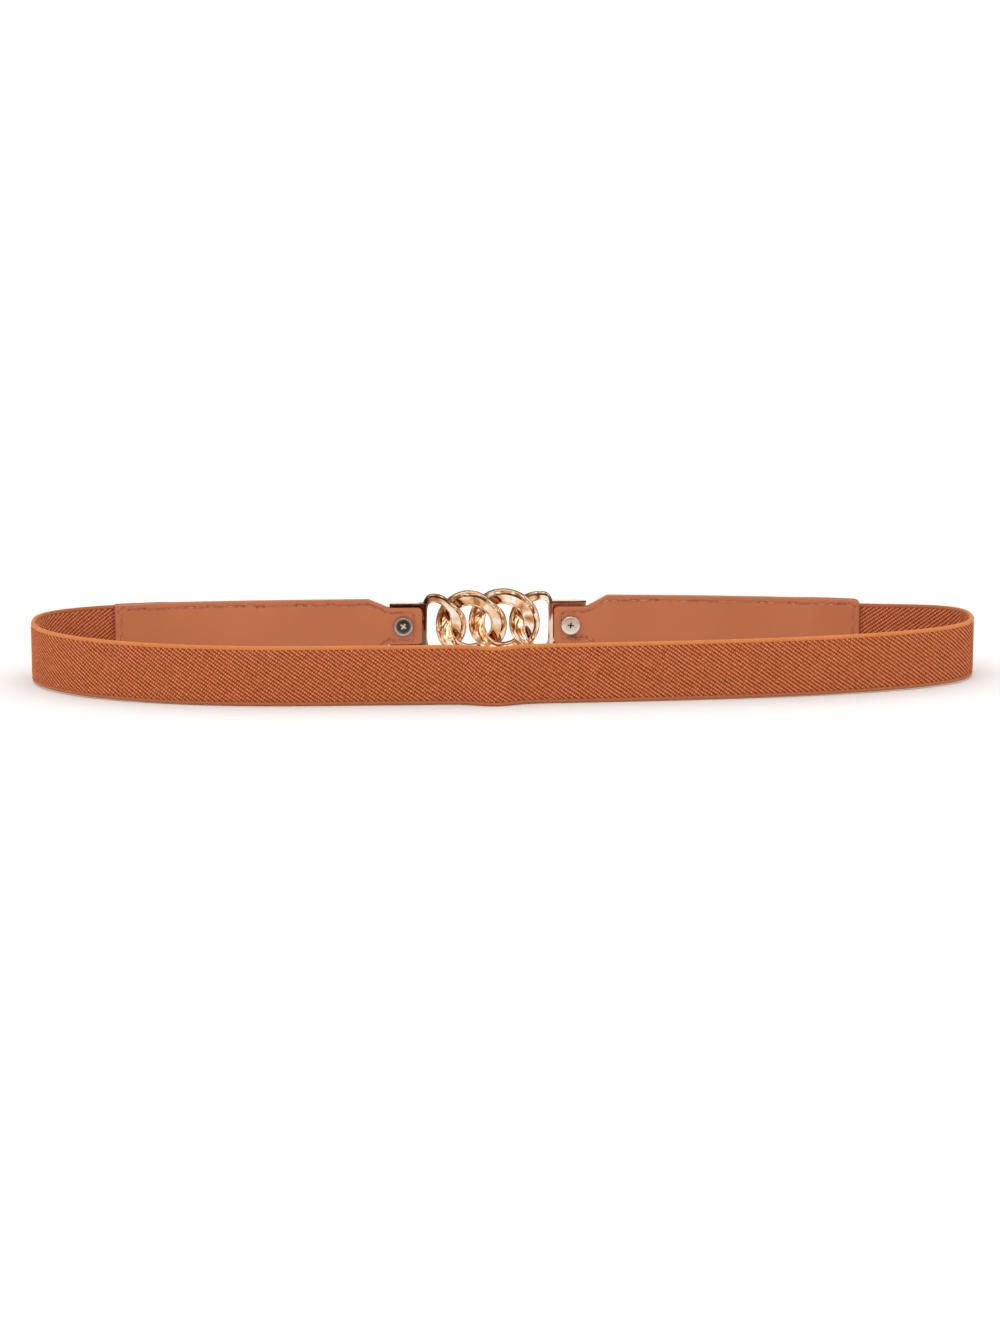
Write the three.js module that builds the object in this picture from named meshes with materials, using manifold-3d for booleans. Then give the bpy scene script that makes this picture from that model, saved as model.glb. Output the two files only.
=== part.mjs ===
// A stretch belt fastened into a loop and standing on its lower edge.
//
// A woven elastic band runs round the front and both ends. Its two ends are sewn between the two leather layers
// of a tab on each side. Each tab narrows to a tongue, which lies in the channel of a cast metal buckle half and is
// held there by one screw. Each buckle half is a channel, a D-shaped link and a round link soldered together, and
// the two round links hook through each other.
//
// Millimetres, +Z up. X runs along the loop's length, the buckle is at +Y, and the plain front of the band at -Y.
// The belt is first built level, with the band's lower edge at z = 0, and then leaned back onto the buckle's links,
// which reach a little lower than the band.
import * as THREE from "three";
import { mergeVertices } from "three/addons/utils/BufferGeometryUtils.js";
import Module from "manifold-3d";

const wasm = await Module();
wasm.setup();

// The band. Its ends are sewn in a little higher or lower than the rest lies, and it settles over a reach.
const bandHeight = 19.4;
const bandThickness = 1.6;
const bandEdgeRadius = 0.6;
const bandStep = 3.4;
const bandRise = { left: 0.35, right: -1 };
const bandRiseReach = { left: 37, right: 40 };

// The loop that the band's middle line follows, seen from above: a superellipse in four quarters, with a straight
// stretch behind the buckle. A larger exponent is a squarer corner.
const loopHalfLength = 156.8;
const frontDepth = 50.6;
const backDepth = 31;
const frontCrestX = -65;
const buckleX = -4;
const cornerExponent = { backRight: 2.57, frontRight: 2.76, frontLeft: 2.09, backLeft: 3.23 };
const tangentLength = 0.8;

// The mark of the fold that the band was packed with: a low bulge in the middle of the front
const foldX = -5.5;
const foldOut = 4.1;
const foldWidth = 7.5;

// The leather tabs, measured along the loop from the buckle's middle. A tab's middle stands a little above the
// band's middle where the tab is first wide, and another amount at its far end.
const leatherThickness = 1.1;
const tabHeight = 20.4;
const tabEnd = 128;
const tongueHeight = 12.8;
const tongueLift = 1;
const tongueTipRadius = 1.6;
const taperLength = 6.9;
const tabCornerRadius = { left: 1.1, right: 2.4 };
const tabRiseNear = { left: 0.08, right: 0.98 };
const tabRiseFar = { left: -0.1, right: -0.24 };
const bandOverlap = 14;
const bandRamp = 9;
const tabStep = 4.5;

// The cast buckle. It sits a little above the band's middle, and its two halves don't sit quite level.
const buckleLift = 1.4;
const halfLift = { left: -0.4, right: 0.15 };
const channelInner = 22.3;
const channelWall = 1.3;
const channelLength = 12.8;
const plateThickness = 1.2;
const flangeThickness = 0.6;
const castEdgeRadius = 0.25;
const linkThickness = 2.4;
const linkEdgeThickness = 0.7;
const ridgeShare = 1 / 3;
const solderRadius = 1.5;
const linkSteps = 48;

// A link lies between two outlines. Each reaches inner and outer distances from the link's own middle: towards the
// buckle's middle, away from it, and up and down. The away side of the end link is squarer and meets the channel.
const roundLink = {
  offset: 5.65,
  outer: { facing: 12.15, away: 12.15, height: 11.95, awayExponent: 2 },
  inner: { facing: 6.85, away: 6.85, height: 6.75, awayExponent: 2 },
};
const endLink = {
  offset: 18,
  outer: { facing: 10.6, away: 4.9, height: 10.95, awayExponent: 3 },
  inner: { facing: 5.4, away: 2.9, height: 7.85, awayExponent: 5 },
};

// Where a link passes in front of its neighbour, it is slimmer along its outer edge.
const slimDepth = 1.1;
const slimAngle = THREE.MathUtils.degToRad(50);
const slimSpread = THREE.MathUtils.degToRad(24);

// The screws. Each goes through the middle of its tongue, a little past the middle of its channel.
const screwPastMiddle = { left: 1.05, right: 0.35 };
const screwHeadRadius = 3.25;
const screwHeadHeight = 0.9;
const screwHeadBevel = 0.3;
const screwShankRadius = 1.2;
const recessLength = 2.9;
const recessWidth = 0.62;
const recessDepth = 0.5;
const screwTurn = { left: 0.62, right: 0.1 };

// Clearances
const glueGap = 0.3;
const bandClearance = 0.3;
const channelClearance = 0.3;
const tongueClearance = 0.85;
const tipClearance = 0.3;
const holeClearance = 0.3;
const seatGap = 0.2;
const linkClearance = 0.5;

// Places that follow from the sizes above
const tongueTip = channelInner + tipClearance;
const channelEnd = channelInner - channelWall + channelLength;
const channelMiddle = (channelInner + channelEnd) / 2;
const screwOffset = { left: channelMiddle + screwPastMiddle.left, right: channelMiddle + screwPastMiddle.right };
const taperStart = channelEnd + tipClearance;
const straightHalf = channelEnd + tipClearance;
const tongueHalfThickness = glueGap / 2 + leatherThickness;
const pocketHalfHeight = tongueHeight / 2 + tongueClearance;
const channelHalfHeight = pocketHalfHeight + flangeThickness;
const plateInner = tongueHalfThickness + channelClearance;
const plateOuter = plateInner + plateThickness;
const linkPlane = (plateOuter - tongueHalfThickness) / 2;
const bandMiddle = bandHeight / 2;
const tongueMiddle = bandMiddle + tongueLift;
const buckleMiddle = bandMiddle + buckleLift;
const screwRise = tongueMiddle - buckleMiddle;

const smoothstep = (t) => {
  const u = THREE.MathUtils.clamp(t, 0, 1);
  return u * u * (3 - 2 * u);
};
const signedPower = (value, power) => Math.sign(value) * Math.abs(value) ** power;

// One quarter of the loop, from the crest (x = crestX, y = depth) to the end (x = endX, y = 0).
function quarter(crestX, depth, endX, exponent) {
  const steps = 400;
  return Array.from({ length: steps + 1 }, (_, i) => {
    const t = (i / steps) * (Math.PI / 2);
    const across = signedPower(Math.sin(t), 2 / exponent);
    const along = signedPower(Math.cos(t), 2 / exponent);
    return new THREE.Vector2(crestX + (endX - crestX) * across, depth * along);
  });
}

// The whole middle line, clockwise seen from above, starting at the buckle's middle.
function loopLine() {
  const rightStart = buckleX + straightHalf;
  const leftStart = buckleX - straightHalf;
  const backRight = quarter(rightStart, backDepth, loopHalfLength, cornerExponent.backRight);
  const frontRight = quarter(frontCrestX, -frontDepth, loopHalfLength, cornerExponent.frontRight).reverse();
  const frontLeft = quarter(frontCrestX, -frontDepth, -loopHalfLength, cornerExponent.frontLeft);
  const backLeft = quarter(leftStart, backDepth, -loopHalfLength, cornerExponent.backLeft).reverse();
  const front = [...frontRight.slice(1), ...frontLeft.slice(1)];
  for (const p of front) p.y -= foldOut * Math.exp(-(((p.x - foldX) / foldWidth) ** 2));
  const middle = new THREE.Vector2(buckleX, backDepth);
  return [middle, ...backRight, ...front, ...backLeft.slice(1), middle.clone()];
}

const line = loopLine();
const lineLengths = line.reduce((sums, p, i) => {
  sums.push(i ? sums[i - 1] + p.distanceTo(line[i - 1]) : 0);
  return sums;
}, []);
const loopLength = lineLengths.at(-1);

// The middle line's point at a distance from the buckle's middle; a negative distance goes left.
function linePoint(distance) {
  const s = THREE.MathUtils.euclideanModulo(distance, loopLength);
  let low = 0;
  let high = line.length - 1;
  while (high - low > 1) {
    const mid = (low + high) >> 1;
    if (lineLengths[mid] <= s) low = mid;
    else high = mid;
  }
  const share = (s - lineLengths[low]) / (lineLengths[high] - lineLengths[low]);
  return line[low].clone().lerp(line[high], share);
}

// A point that lies a distance along the loop, out from its middle line, and up.
function onLoop(distance, out, z) {
  const p = linePoint(distance);
  const along = linePoint(distance + tangentLength).sub(linePoint(distance - tangentLength)).normalize();
  return new THREE.Vector3(p.x - along.y * out, p.y + along.x * out, z);
}

// A closed skin over a row of like sections; a ring of them has no end caps.
function skin(sections, isRing) {
  const count = sections[0].length;
  const rows = sections.length;
  const index = [];
  const last = isRing ? rows : rows - 1;
  for (let i = 0; i < last; i++) {
    const a = i * count;
    const b = ((i + 1) % rows) * count;
    for (let j = 0; j < count; j++) {
      const k = (j + 1) % count;
      index.push(a + j, a + k, b + k, a + j, b + k, b + j);
    }
  }
  if (!isRing) {
    const end = (rows - 1) * count;
    for (let j = 1; j < count - 1; j++) {
      index.push(0, j + 1, j, end, end + j, end + j + 1);
    }
  }
  const positions = sections.flat().flatMap((p) => [p.x, p.y, p.z]);
  const geometry = new THREE.BufferGeometry();
  geometry.setAttribute("position", new THREE.Float32BufferAttribute(positions, 3));
  geometry.setIndex(index);
  if (signedVolume(geometry) < 0) index.forEach((_, i) => i % 3 === 0 && swap(index, i + 1, i + 2));
  geometry.setIndex(index);
  return geometry;
}

function swap(list, i, j) {
  [list[i], list[j]] = [list[j], list[i]];
}

function signedVolume(geometry) {
  const p = geometry.attributes.position;
  const corner = (i) => new THREE.Vector3().fromBufferAttribute(p, geometry.index.getX(i));
  let sum = 0;
  for (let i = 0; i < geometry.index.count; i += 3) {
    sum += corner(i).dot(corner(i + 1).cross(corner(i + 2)));
  }
  return sum / 6;
}

// Between a three.js geometry and a solid that can be joined and cut.
function toSolid(geometry) {
  const bare = new THREE.BufferGeometry();
  bare.setAttribute("position", geometry.attributes.position.clone());
  if (geometry.index) bare.setIndex(geometry.index.clone());
  const merged = mergeVertices(bare, 1e-4);
  return new wasm.Manifold(
    new wasm.Mesh({
      numProp: 3,
      vertProperties: new Float32Array(merged.attributes.position.array),
      triVerts: new Uint32Array(merged.index.array),
    }),
  );
}

function toGeometry(solid) {
  const mesh = solid.getMesh();
  const geometry = new THREE.BufferGeometry();
  geometry.setAttribute("position", new THREE.BufferAttribute(new Float32Array(mesh.vertProperties), 3));
  geometry.setIndex(new THREE.BufferAttribute(new Uint32Array(mesh.triVerts), 1));
  return geometry;
}

// A box between two corners, given as [x, y, z].
function boxBetween(low, high) {
  const size = high.map((value, i) => value - low[i]);
  const middle = high.map((value, i) => (value + low[i]) / 2);
  return new THREE.BoxGeometry(...size).translate(...middle);
}

// A cylinder along Y, round (x, z), from one y to another.
function rodAlongY(radius, x, z, from, to, sides = 20) {
  return new THREE.CylinderGeometry(radius, radius, to - from, sides).translate(0, (from + to) / 2, 0).translate(x, 0, z);
}

// The band's section: a tall strip with rounded edges, as [out, z] points.
function bandSection() {
  const turns = [0, 0.5, 1];
  const halfWide = bandThickness / 2 - bandEdgeRadius;
  const halfTall = bandHeight / 2 - bandEdgeRadius;
  const corners = [
    [1, 1, 0],
    [-1, 1, 1],
    [-1, -1, 2],
    [1, -1, 3],
  ];
  return corners.flatMap(([sideways, upward, quarterTurns]) =>
    turns.map((t) => {
      const angle = (quarterTurns + t) * (Math.PI / 2);
      return [
        sideways * halfWide + bandEdgeRadius * Math.cos(angle),
        bandMiddle + upward * halfTall + bandEdgeRadius * Math.sin(angle),
      ];
    }),
  );
}

// How far the band lies above its level at a distance from the buckle's middle.
function bandLift(distance) {
  const rightShare = smoothstep((distance - tabEnd) / bandRiseReach.right);
  const leftShare = smoothstep((loopLength - tabEnd - distance) / bandRiseReach.left);
  return bandRise.right * (1 - rightShare) + bandRise.left * (1 - leftShare);
}

function elasticBand() {
  const from = tabEnd - bandOverlap;
  const to = loopLength - tabEnd + bandOverlap;
  const count = Math.round((to - from) / bandStep);
  const section = bandSection();
  const sections = Array.from({ length: count + 1 }, (_, i) => {
    const s = from + ((to - from) * i) / count;
    return section.map(([out, z]) => onLoop(s, out, z + bandLift(s)));
  });
  return skin(sections, false);
}

// Half the height of a tab at a distance from the buckle's middle: a round-cornered tongue, a taper, a long
// wide stretch and a round-cornered end.
function tabHalfHeight(d, side) {
  const cornerDrop = (radius, depth) => radius - Math.sqrt(Math.max(0, radius ** 2 - (radius - depth) ** 2));
  const tongueHalf = tongueHeight / 2;
  const wideHalf = tabHeight / 2;
  const endRadius = tabCornerRadius[side];
  if (d < tongueTip + tongueTipRadius) return tongueHalf - cornerDrop(tongueTipRadius, d - tongueTip);
  if (d < taperStart) return tongueHalf;
  if (d < taperStart + taperLength) return tongueHalf + ((wideHalf - tongueHalf) * (d - taperStart)) / taperLength;
  if (d < tabEnd - endRadius) return wideHalf;
  return wideHalf - cornerDrop(endRadius, tabEnd - d);
}

// The distances at which a tab has a section, closer together round its corners.
function tabStations(side) {
  const roundSteps = [0, 0.08, 0.3, 0.65, 1];
  const endRadius = tabCornerRadius[side];
  const straightFrom = taperStart + taperLength;
  const straightTo = tabEnd - endRadius;
  const count = Math.round((straightTo - straightFrom) / tabStep);
  const wide = Array.from({ length: count + 1 }, (_, i) => straightFrom + ((straightTo - straightFrom) * i) / count);
  return [
    ...roundSteps.map((t) => tongueTip + tongueTipRadius * t),
    taperStart,
    ...wide,
    ...roundSteps.slice(0, -1).reverse().map((t) => tabEnd - endRadius * t),
  ];
}

// The room between a tab's two layers: a glue line, opening over a ramp to take the end of the band.
function layerGap(d) {
  const bandStart = tabEnd - bandOverlap - bandClearance;
  const overBand = bandThickness + 2 * bandClearance;
  return glueGap + (overBand - glueGap) * smoothstep((d - (bandStart - bandRamp)) / bandRamp);
}

// The height of a tab's middle line at a distance from the buckle's middle.
function tabMiddle(d, side) {
  const wideStart = taperStart + taperLength;
  const widened = THREE.MathUtils.clamp((d - taperStart) / taperLength, 0, 1);
  const farShare = THREE.MathUtils.clamp((d - wideStart) / (tabEnd - wideStart), 0, 1);
  const rise = THREE.MathUtils.lerp(tabRiseNear[side], tabRiseFar[side], farShare);
  return THREE.MathUtils.lerp(tongueMiddle, bandMiddle + rise, widened);
}

// One leather layer of one tab; layer is 1 for the outer one and -1 for the inner one.
function tabLayer(side, layer) {
  const way = side === "right" ? 1 : -1;
  const sections = tabStations(side).map((d) => {
    const near = layer * (layerGap(d) / 2);
    const far = near + layer * leatherThickness;
    const half = tabHalfHeight(d, side);
    const middle = tabMiddle(d, side);
    return [
      onLoop(way * d, near, middle - half),
      onLoop(way * d, far, middle - half),
      onLoop(way * d, far, middle + half),
      onLoop(way * d, near, middle + half),
    ];
  });
  const hole = rodAlongY(
    screwShankRadius + holeClearance,
    buckleX + way * screwOffset[side],
    tongueMiddle,
    backDepth - plateOuter,
    backDepth + plateOuter,
  );
  return toGeometry(toSolid(skin(sections, false)).subtract(toSolid(hole)));
}

// A link's section, from its outer edge to its inner edge and back: [share of the width, depth] points of a low
// kite whose ridge lies nearer the outer edge.
function linkSection() {
  const edge = linkEdgeThickness / 2;
  const ridge = linkThickness / 2;
  return [
    [0, -edge],
    [ridgeShare, -ridge],
    [ridgeShare + 0.2, -ridge * 0.93],
    [1, -edge],
    [1, edge],
    [ridgeShare + 0.2, ridge * 0.93],
    [ridgeShare, ridge],
    [0, edge],
  ];
}

// The middle line of a link: half its length on the facing side, and half its height.
const middleReach = (shape) => (shape.outer.facing + shape.inner.facing) / 2;
const middleHeight = (shape) => (shape.outer.height + shape.inner.height) / 2;

// How far a link weaves to either side of the links' common plane, so that two round links pass each other clear.
const crossingAngle = Math.acos(roundLink.offset / middleReach(roundLink));
const linkWeave = (linkThickness + linkClearance) / 2 / Math.sin(2 * crossingAngle);

// A point on one of a link's outlines; angle 0 faces the buckle's middle, which is towards +X.
function outlinePoint(outline, offset, angle) {
  const cos = Math.cos(angle);
  const faces = cos > 0;
  const power = 2 / (faces ? 2 : outline.awayExponent);
  const reach = faces ? outline.facing : outline.away;
  const x = reach * signedPower(cos, power) - offset;
  return new THREE.Vector2(x, outline.height * signedPower(Math.sin(angle), power));
}

// A link of the left half, whose middle is at x = -shape.offset. Its away side may weave less.
function link(shape, awayWeave) {
  const section = linkSection();
  const sections = Array.from({ length: linkSteps }, (_, i) => {
    const angle = (i / linkSteps) * 2 * Math.PI;
    const inner = outlinePoint(shape.inner, shape.offset, angle);
    const outer = outlinePoint(shape.outer, shape.offset, angle);
    const slim = slimDepth * Math.exp(-(((angle - slimAngle) / slimSpread) ** 2));
    outer.addScaledVector(inner.clone().sub(outer).normalize(), slim);
    const weave = Math.cos(angle) > 0 ? linkWeave : awayWeave;
    const sway = linkPlane - weave * Math.sin(2 * angle);
    return section.map(([share, depth]) => {
      const p = outer.clone().lerp(inner, share);
      return new THREE.Vector3(p.x, sway + depth, p.y);
    });
  });
  return skin(sections, true);
}

// The channel that holds the tongue: a round-edged block with a pocket that is open at the far end and behind.
function channelBlock() {
  const length = channelLength - 2 * castEdgeRadius;
  const height = 2 * channelHalfHeight - 2 * castEdgeRadius;
  const depth = plateOuter + tongueHalfThickness - 2 * castEdgeRadius;
  const outline = new THREE.Shape();
  outline.moveTo(-length / 2, -height / 2);
  outline.lineTo(length / 2, -height / 2);
  outline.lineTo(length / 2, height / 2);
  outline.lineTo(-length / 2, height / 2);
  outline.closePath();
  const block = new THREE.ExtrudeGeometry(outline, {
    depth,
    bevelThickness: castEdgeRadius,
    bevelSize: castEdgeRadius,
    bevelSegments: 2,
  });
  block.rotateX(Math.PI / 2);
  const middleX = -(channelInner - channelWall + channelLength / 2);
  return block.translate(middleX, plateOuter - castEdgeRadius, 0);
}

// One buckle half, on the left of the buckle's middle, with y = 0 in the middle of the leather's thickness. Its
// screw hole is at the given distance from the buckle's middle, and height.
function buckleHalf(holeX, holeZ) {
  const past = channelEnd + channelLength;
  const pocket = boxBetween([-past, -past, -pocketHalfHeight], [-channelInner, plateInner, pocketHalfHeight]);
  const screwHole = rodAlongY(screwShankRadius + holeClearance, -holeX, holeZ, 0, past);
  const end = toSolid(channelBlock()).add(toSolid(link(endLink, linkWeave / 4)));
  let half = end.subtract(toSolid(pocket)).subtract(toSolid(screwHole)).add(toSolid(link(roundLink, linkWeave)));
  for (const z of solderHeights()) {
    const rod = rodAlongY(solderRadius, solderX(), z, linkPlane - linkWeave, linkPlane + linkWeave, 12);
    half = half.add(toSolid(rod));
  }
  return half;
}

// Where the middle lines of the end link and the round link of one half cross.
function solderX() {
  const apart = endLink.offset - roundLink.offset;
  const share = middleReach(endLink) / (middleReach(endLink) + middleReach(roundLink));
  return apart * share - endLink.offset;
}

function solderHeights() {
  const along = (solderX() + endLink.offset) / middleReach(endLink);
  const height = middleHeight(endLink) * Math.sqrt(1 - along ** 2);
  return [height, -height];
}

// A screw along Y: a bevelled head with a cross recess at -Y, and a shank that ends inside the plate.
function screw(turn) {
  const headSeat = -(tongueHalfThickness + seatGap);
  const headTop = headSeat - screwHeadHeight;
  const profile = [
    [0, headTop],
    [screwHeadRadius - screwHeadBevel, headTop],
    [screwHeadRadius, headTop + screwHeadBevel],
    [screwHeadRadius, headSeat],
    [screwShankRadius, headSeat],
    [screwShankRadius, plateOuter - seatGap],
    [0, plateOuter - seatGap],
  ].map(([radius, y]) => new THREE.Vector2(radius, y));
  const half = recessLength / 2;
  const slot = [
    boxBetween([-half, headTop - 1, -recessWidth / 2], [half, headTop + recessDepth, recessWidth / 2]),
    boxBetween([-recessWidth / 2, headTop - 1, -half], [recessWidth / 2, headTop + recessDepth, half]),
  ];
  let solid = toSolid(new THREE.LatheGeometry(profile, 28));
  for (const arm of slot) solid = solid.subtract(toSolid(arm.rotateY(turn)));
  return toGeometry(solid);
}

const elastic = new THREE.MeshStandardMaterial({ name: "elastic", color: 0xb5653a, roughness: 0.85, metalness: 0 });
const leather = new THREE.MeshStandardMaterial({ name: "leather", color: 0xb86b48, roughness: 0.5, metalness: 0 });
const gold = new THREE.MeshStandardMaterial({ name: "gold", color: 0xe8bd86, roughness: 0.12, metalness: 1 });
const steel = new THREE.MeshStandardMaterial({ name: "steel", color: 0xc9cac8, roughness: 0.2, metalness: 1 });

function named(name, geometry, material) {
  const mesh = new THREE.Mesh(geometry, material);
  mesh.name = name;
  return mesh;
}

// The belt, level
const belt = new THREE.Group();
belt.add(named("elastic_band", elasticBand(), elastic));
for (const side of ["left", "right"]) {
  belt.add(named(`tab_${side}_inner`, tabLayer(side, -1), leather));
  belt.add(named(`tab_${side}_outer`, tabLayer(side, 1), leather));
}

// The buckle: the right half is the left one turned half a turn
const buckle = new THREE.Group();
buckle.position.set(buckleX, backDepth, buckleMiddle);
const leftSolid = buckleHalf(screwOffset.left, screwRise - halfLift.left);
const rightSolid = buckleHalf(screwOffset.right, halfLift.right - screwRise);
const leftHalf = named("buckle_left", toGeometry(leftSolid), gold);
leftHalf.position.z = halfLift.left;
const rightHalf = named("buckle_right", toGeometry(rightSolid), gold);
rightHalf.rotation.y = Math.PI;
rightHalf.position.z = halfLift.right;
const leftScrew = named("screw_left", screw(screwTurn.left), steel);
leftScrew.position.set(-screwOffset.left, 0, screwRise);
const rightScrew = named("screw_right", screw(screwTurn.right), steel);
rightScrew.position.set(screwOffset.right, 0, screwRise);
buckle.add(leftHalf, rightHalf, leftScrew, rightScrew);
belt.add(buckle);

// The belt leans back until the front of the band and the lower round link stand on one surface.
const linksBelowBand = roundLink.outer.height - buckleMiddle - Math.min(halfLift.left, halfLift.right);
const frontEdge = Math.min(...line.map((p) => p.y)) - bandThickness / 2;
belt.rotation.x = Math.atan2(linksBelowBand, backDepth + linkPlane - frontEdge);

// The origin is under the middle of the whole belt, on the surface that it stands on.
const standing = new THREE.Group();
standing.add(belt);
standing.updateMatrixWorld(true);
const box = new THREE.Box3().setFromObject(belt, true);
belt.position.set(-(box.min.x + box.max.x) / 2, -(box.min.y + box.max.y) / 2, -box.min.z);

export default standing;
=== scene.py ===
# %% [markdown]
# A stretch belt, fastened into a loop and standing on its lower edge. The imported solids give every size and
# place. This script dresses them: woven elastic with a corded edge, two leather tabs with their stitching,
# a polished cast buckle of linked rings, and two screws. Everything is first made level and in millimetres,
# along the belt's own loop, and then stood up in the frame.

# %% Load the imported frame
import math

import bmesh
import bpy
import numpy as np
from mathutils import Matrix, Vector


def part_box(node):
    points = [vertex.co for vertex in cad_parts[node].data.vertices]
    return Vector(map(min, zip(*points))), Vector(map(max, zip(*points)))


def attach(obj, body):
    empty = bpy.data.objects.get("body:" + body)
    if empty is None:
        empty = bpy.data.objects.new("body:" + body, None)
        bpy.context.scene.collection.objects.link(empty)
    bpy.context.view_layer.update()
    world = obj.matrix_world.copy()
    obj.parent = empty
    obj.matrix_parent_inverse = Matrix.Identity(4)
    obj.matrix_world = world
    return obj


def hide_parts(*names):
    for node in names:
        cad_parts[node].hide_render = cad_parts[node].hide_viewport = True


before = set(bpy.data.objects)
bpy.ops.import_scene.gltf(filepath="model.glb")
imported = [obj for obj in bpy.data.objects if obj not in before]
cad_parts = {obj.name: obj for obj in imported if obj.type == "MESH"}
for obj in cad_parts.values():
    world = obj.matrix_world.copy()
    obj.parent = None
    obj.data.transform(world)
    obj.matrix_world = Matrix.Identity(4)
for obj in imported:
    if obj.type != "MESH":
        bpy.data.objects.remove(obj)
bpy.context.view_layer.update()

MM = 0.001

# %% [markdown]
# The camera looks at the belt from the front, a little from the left and ten degrees above the floor.
# A long lens from 1.2 m keeps the loop's two sides nearly parallel, as in a catalogue picture.
# The picture is 1000 by 1332 pixels, so the lens is fitted to the frame's height.

# %% The camera
CAMERA_TURN = math.radians(3)
CAMERA_RISE = math.radians(10)
CAMERA_DISTANCE = 1200 * MM
CAMERA_LENS = 96.65
BELT_MIDDLE = Vector((0, 10.345, 10)) * MM
AIM_LEFT = 1.41 * MM
AIM_DOWN = 6.71 * MM


def look_from(turn, rise):
    """The camera's forward, right and up directions, for a camera turned left of the front and raised."""
    forward = Vector((math.cos(rise) * math.sin(turn), math.cos(rise) * math.cos(turn), -math.sin(rise)))
    right = Vector((math.cos(turn), -math.sin(turn), 0))
    return forward, right, right.cross(forward)


def add_camera():
    forward, right, up = look_from(CAMERA_TURN, CAMERA_RISE)
    lens = bpy.data.cameras.new("camera")
    lens.sensor_fit = "VERTICAL"
    lens.sensor_height = 36
    lens.lens = CAMERA_LENS
    lens.clip_end = 100
    camera = bpy.data.objects.new("camera", lens)
    camera.location = BELT_MIDDLE - forward * CAMERA_DISTANCE
    aim = BELT_MIDDLE - right * AIM_LEFT - up * AIM_DOWN
    camera.rotation_euler = (aim - camera.location).to_track_quat("-Z", "Y").to_euler()
    bpy.context.scene.collection.objects.link(camera)
    bpy.context.scene.camera = camera
    return camera


print("Camera at", [round(value, 3) for value in add_camera().location])

# %% [markdown]
# A white table in a white tent: nearly even light from all round, with one large soft box above and in front.
# Cloth and leather need only that even light. Polished metal shows its surroundings, so mirror-like rays see
# a real studio instead: lamps, warm walls and gaps in front, dark sides and roof, and a pale wall behind.
# The camera sees plain white behind the belt.

# %% The studio
FLOOR_SIZE = 30
FLOOR_DROP = 0.05 * MM
FLOOR_COLOUR = (0.8, 0.795, 0.789, 1)
TENT_COLOUR = (1, 0.995, 0.985, 1)
TENT_STRENGTH = 1.3
BACKDROP_COLOUR = (1, 1, 1, 1)
BACKDROP_STRENGTH = 1.0
PANEL_STRENGTH = 1.0
PANEL_SCALE = 7.5
PANEL_DETAIL = 2.0
PANEL_DISTORTION = 0.6
PANEL_TONES = [
    (0.38, (0.09, 0.055, 0.045)),
    (0.45, (0.36, 0.19, 0.10)),
    (0.51, (0.80, 0.52, 0.28)),
    (0.57, (1.05, 0.92, 0.78)),
    (0.65, (2.4, 2.3, 2.2)),
]
SIDE_COLOUR = (0.08, 0.06, 0.055, 1)
BACK_WALL_COLOUR = (1.1, 1.08, 1.05, 1)
SIDES_REACH = (-0.1, 0.3)
ROOF_REACH = (0.45, 0.9)
BACK_WALL_REACH = (0.86, 0.94)
KEY_PLACE = Vector((-0.45, -1.0, 1.25))
KEY_SIZE = 0.9
KEY_POWER = 2.5
KEY_COLOUR = (1, 0.985, 0.96)


def link(tree, source, target):
    tree.links.new(source, target)


def parts_of(tree, vector):
    """A vector's X, Y and Z, each as a socket."""
    node = tree.nodes.new("ShaderNodeSeparateXYZ")
    link(tree, vector, node.inputs[0])
    return node.outputs


def add_floor():
    half = FLOOR_SIZE / 2
    corners = [(-half, -half), (half, -half), (half, half), (-half, half)]
    mesh = bpy.data.meshes.new("floor")
    mesh.from_pydata([(x, y, -FLOOR_DROP) for x, y in corners], [], [(0, 1, 2, 3)])
    paper = bpy.data.materials.new("white_table")
    paper.use_nodes = True
    paper.node_tree.nodes.clear()
    surface = paper.node_tree.nodes.new("ShaderNodeBsdfDiffuse")
    surface.inputs["Color"].default_value = FLOOR_COLOUR
    end = paper.node_tree.nodes.new("ShaderNodeOutputMaterial")
    link(paper.node_tree, surface.outputs["BSDF"], end.inputs["Surface"])
    mesh.materials.append(paper)
    floor = bpy.data.objects.new("floor", mesh)
    bpy.context.scene.collection.objects.link(floor)


def wall(tree, direction, reach, before, colour):
    """Adds a wall: its colour takes over from the one before as a direction passes through its reach."""
    share = tree.nodes.new("ShaderNodeMapRange")
    share.inputs["From Min"].default_value, share.inputs["From Max"].default_value = reach
    link(tree, direction, share.inputs["Value"])
    mixed = tree.nodes.new("ShaderNodeMix")
    mixed.data_type = "RGBA"
    link(tree, share.outputs["Result"], mixed.inputs[0])
    link(tree, before, mixed.inputs[6])
    mixed.inputs[7].default_value = colour
    return mixed.outputs[2]


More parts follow.
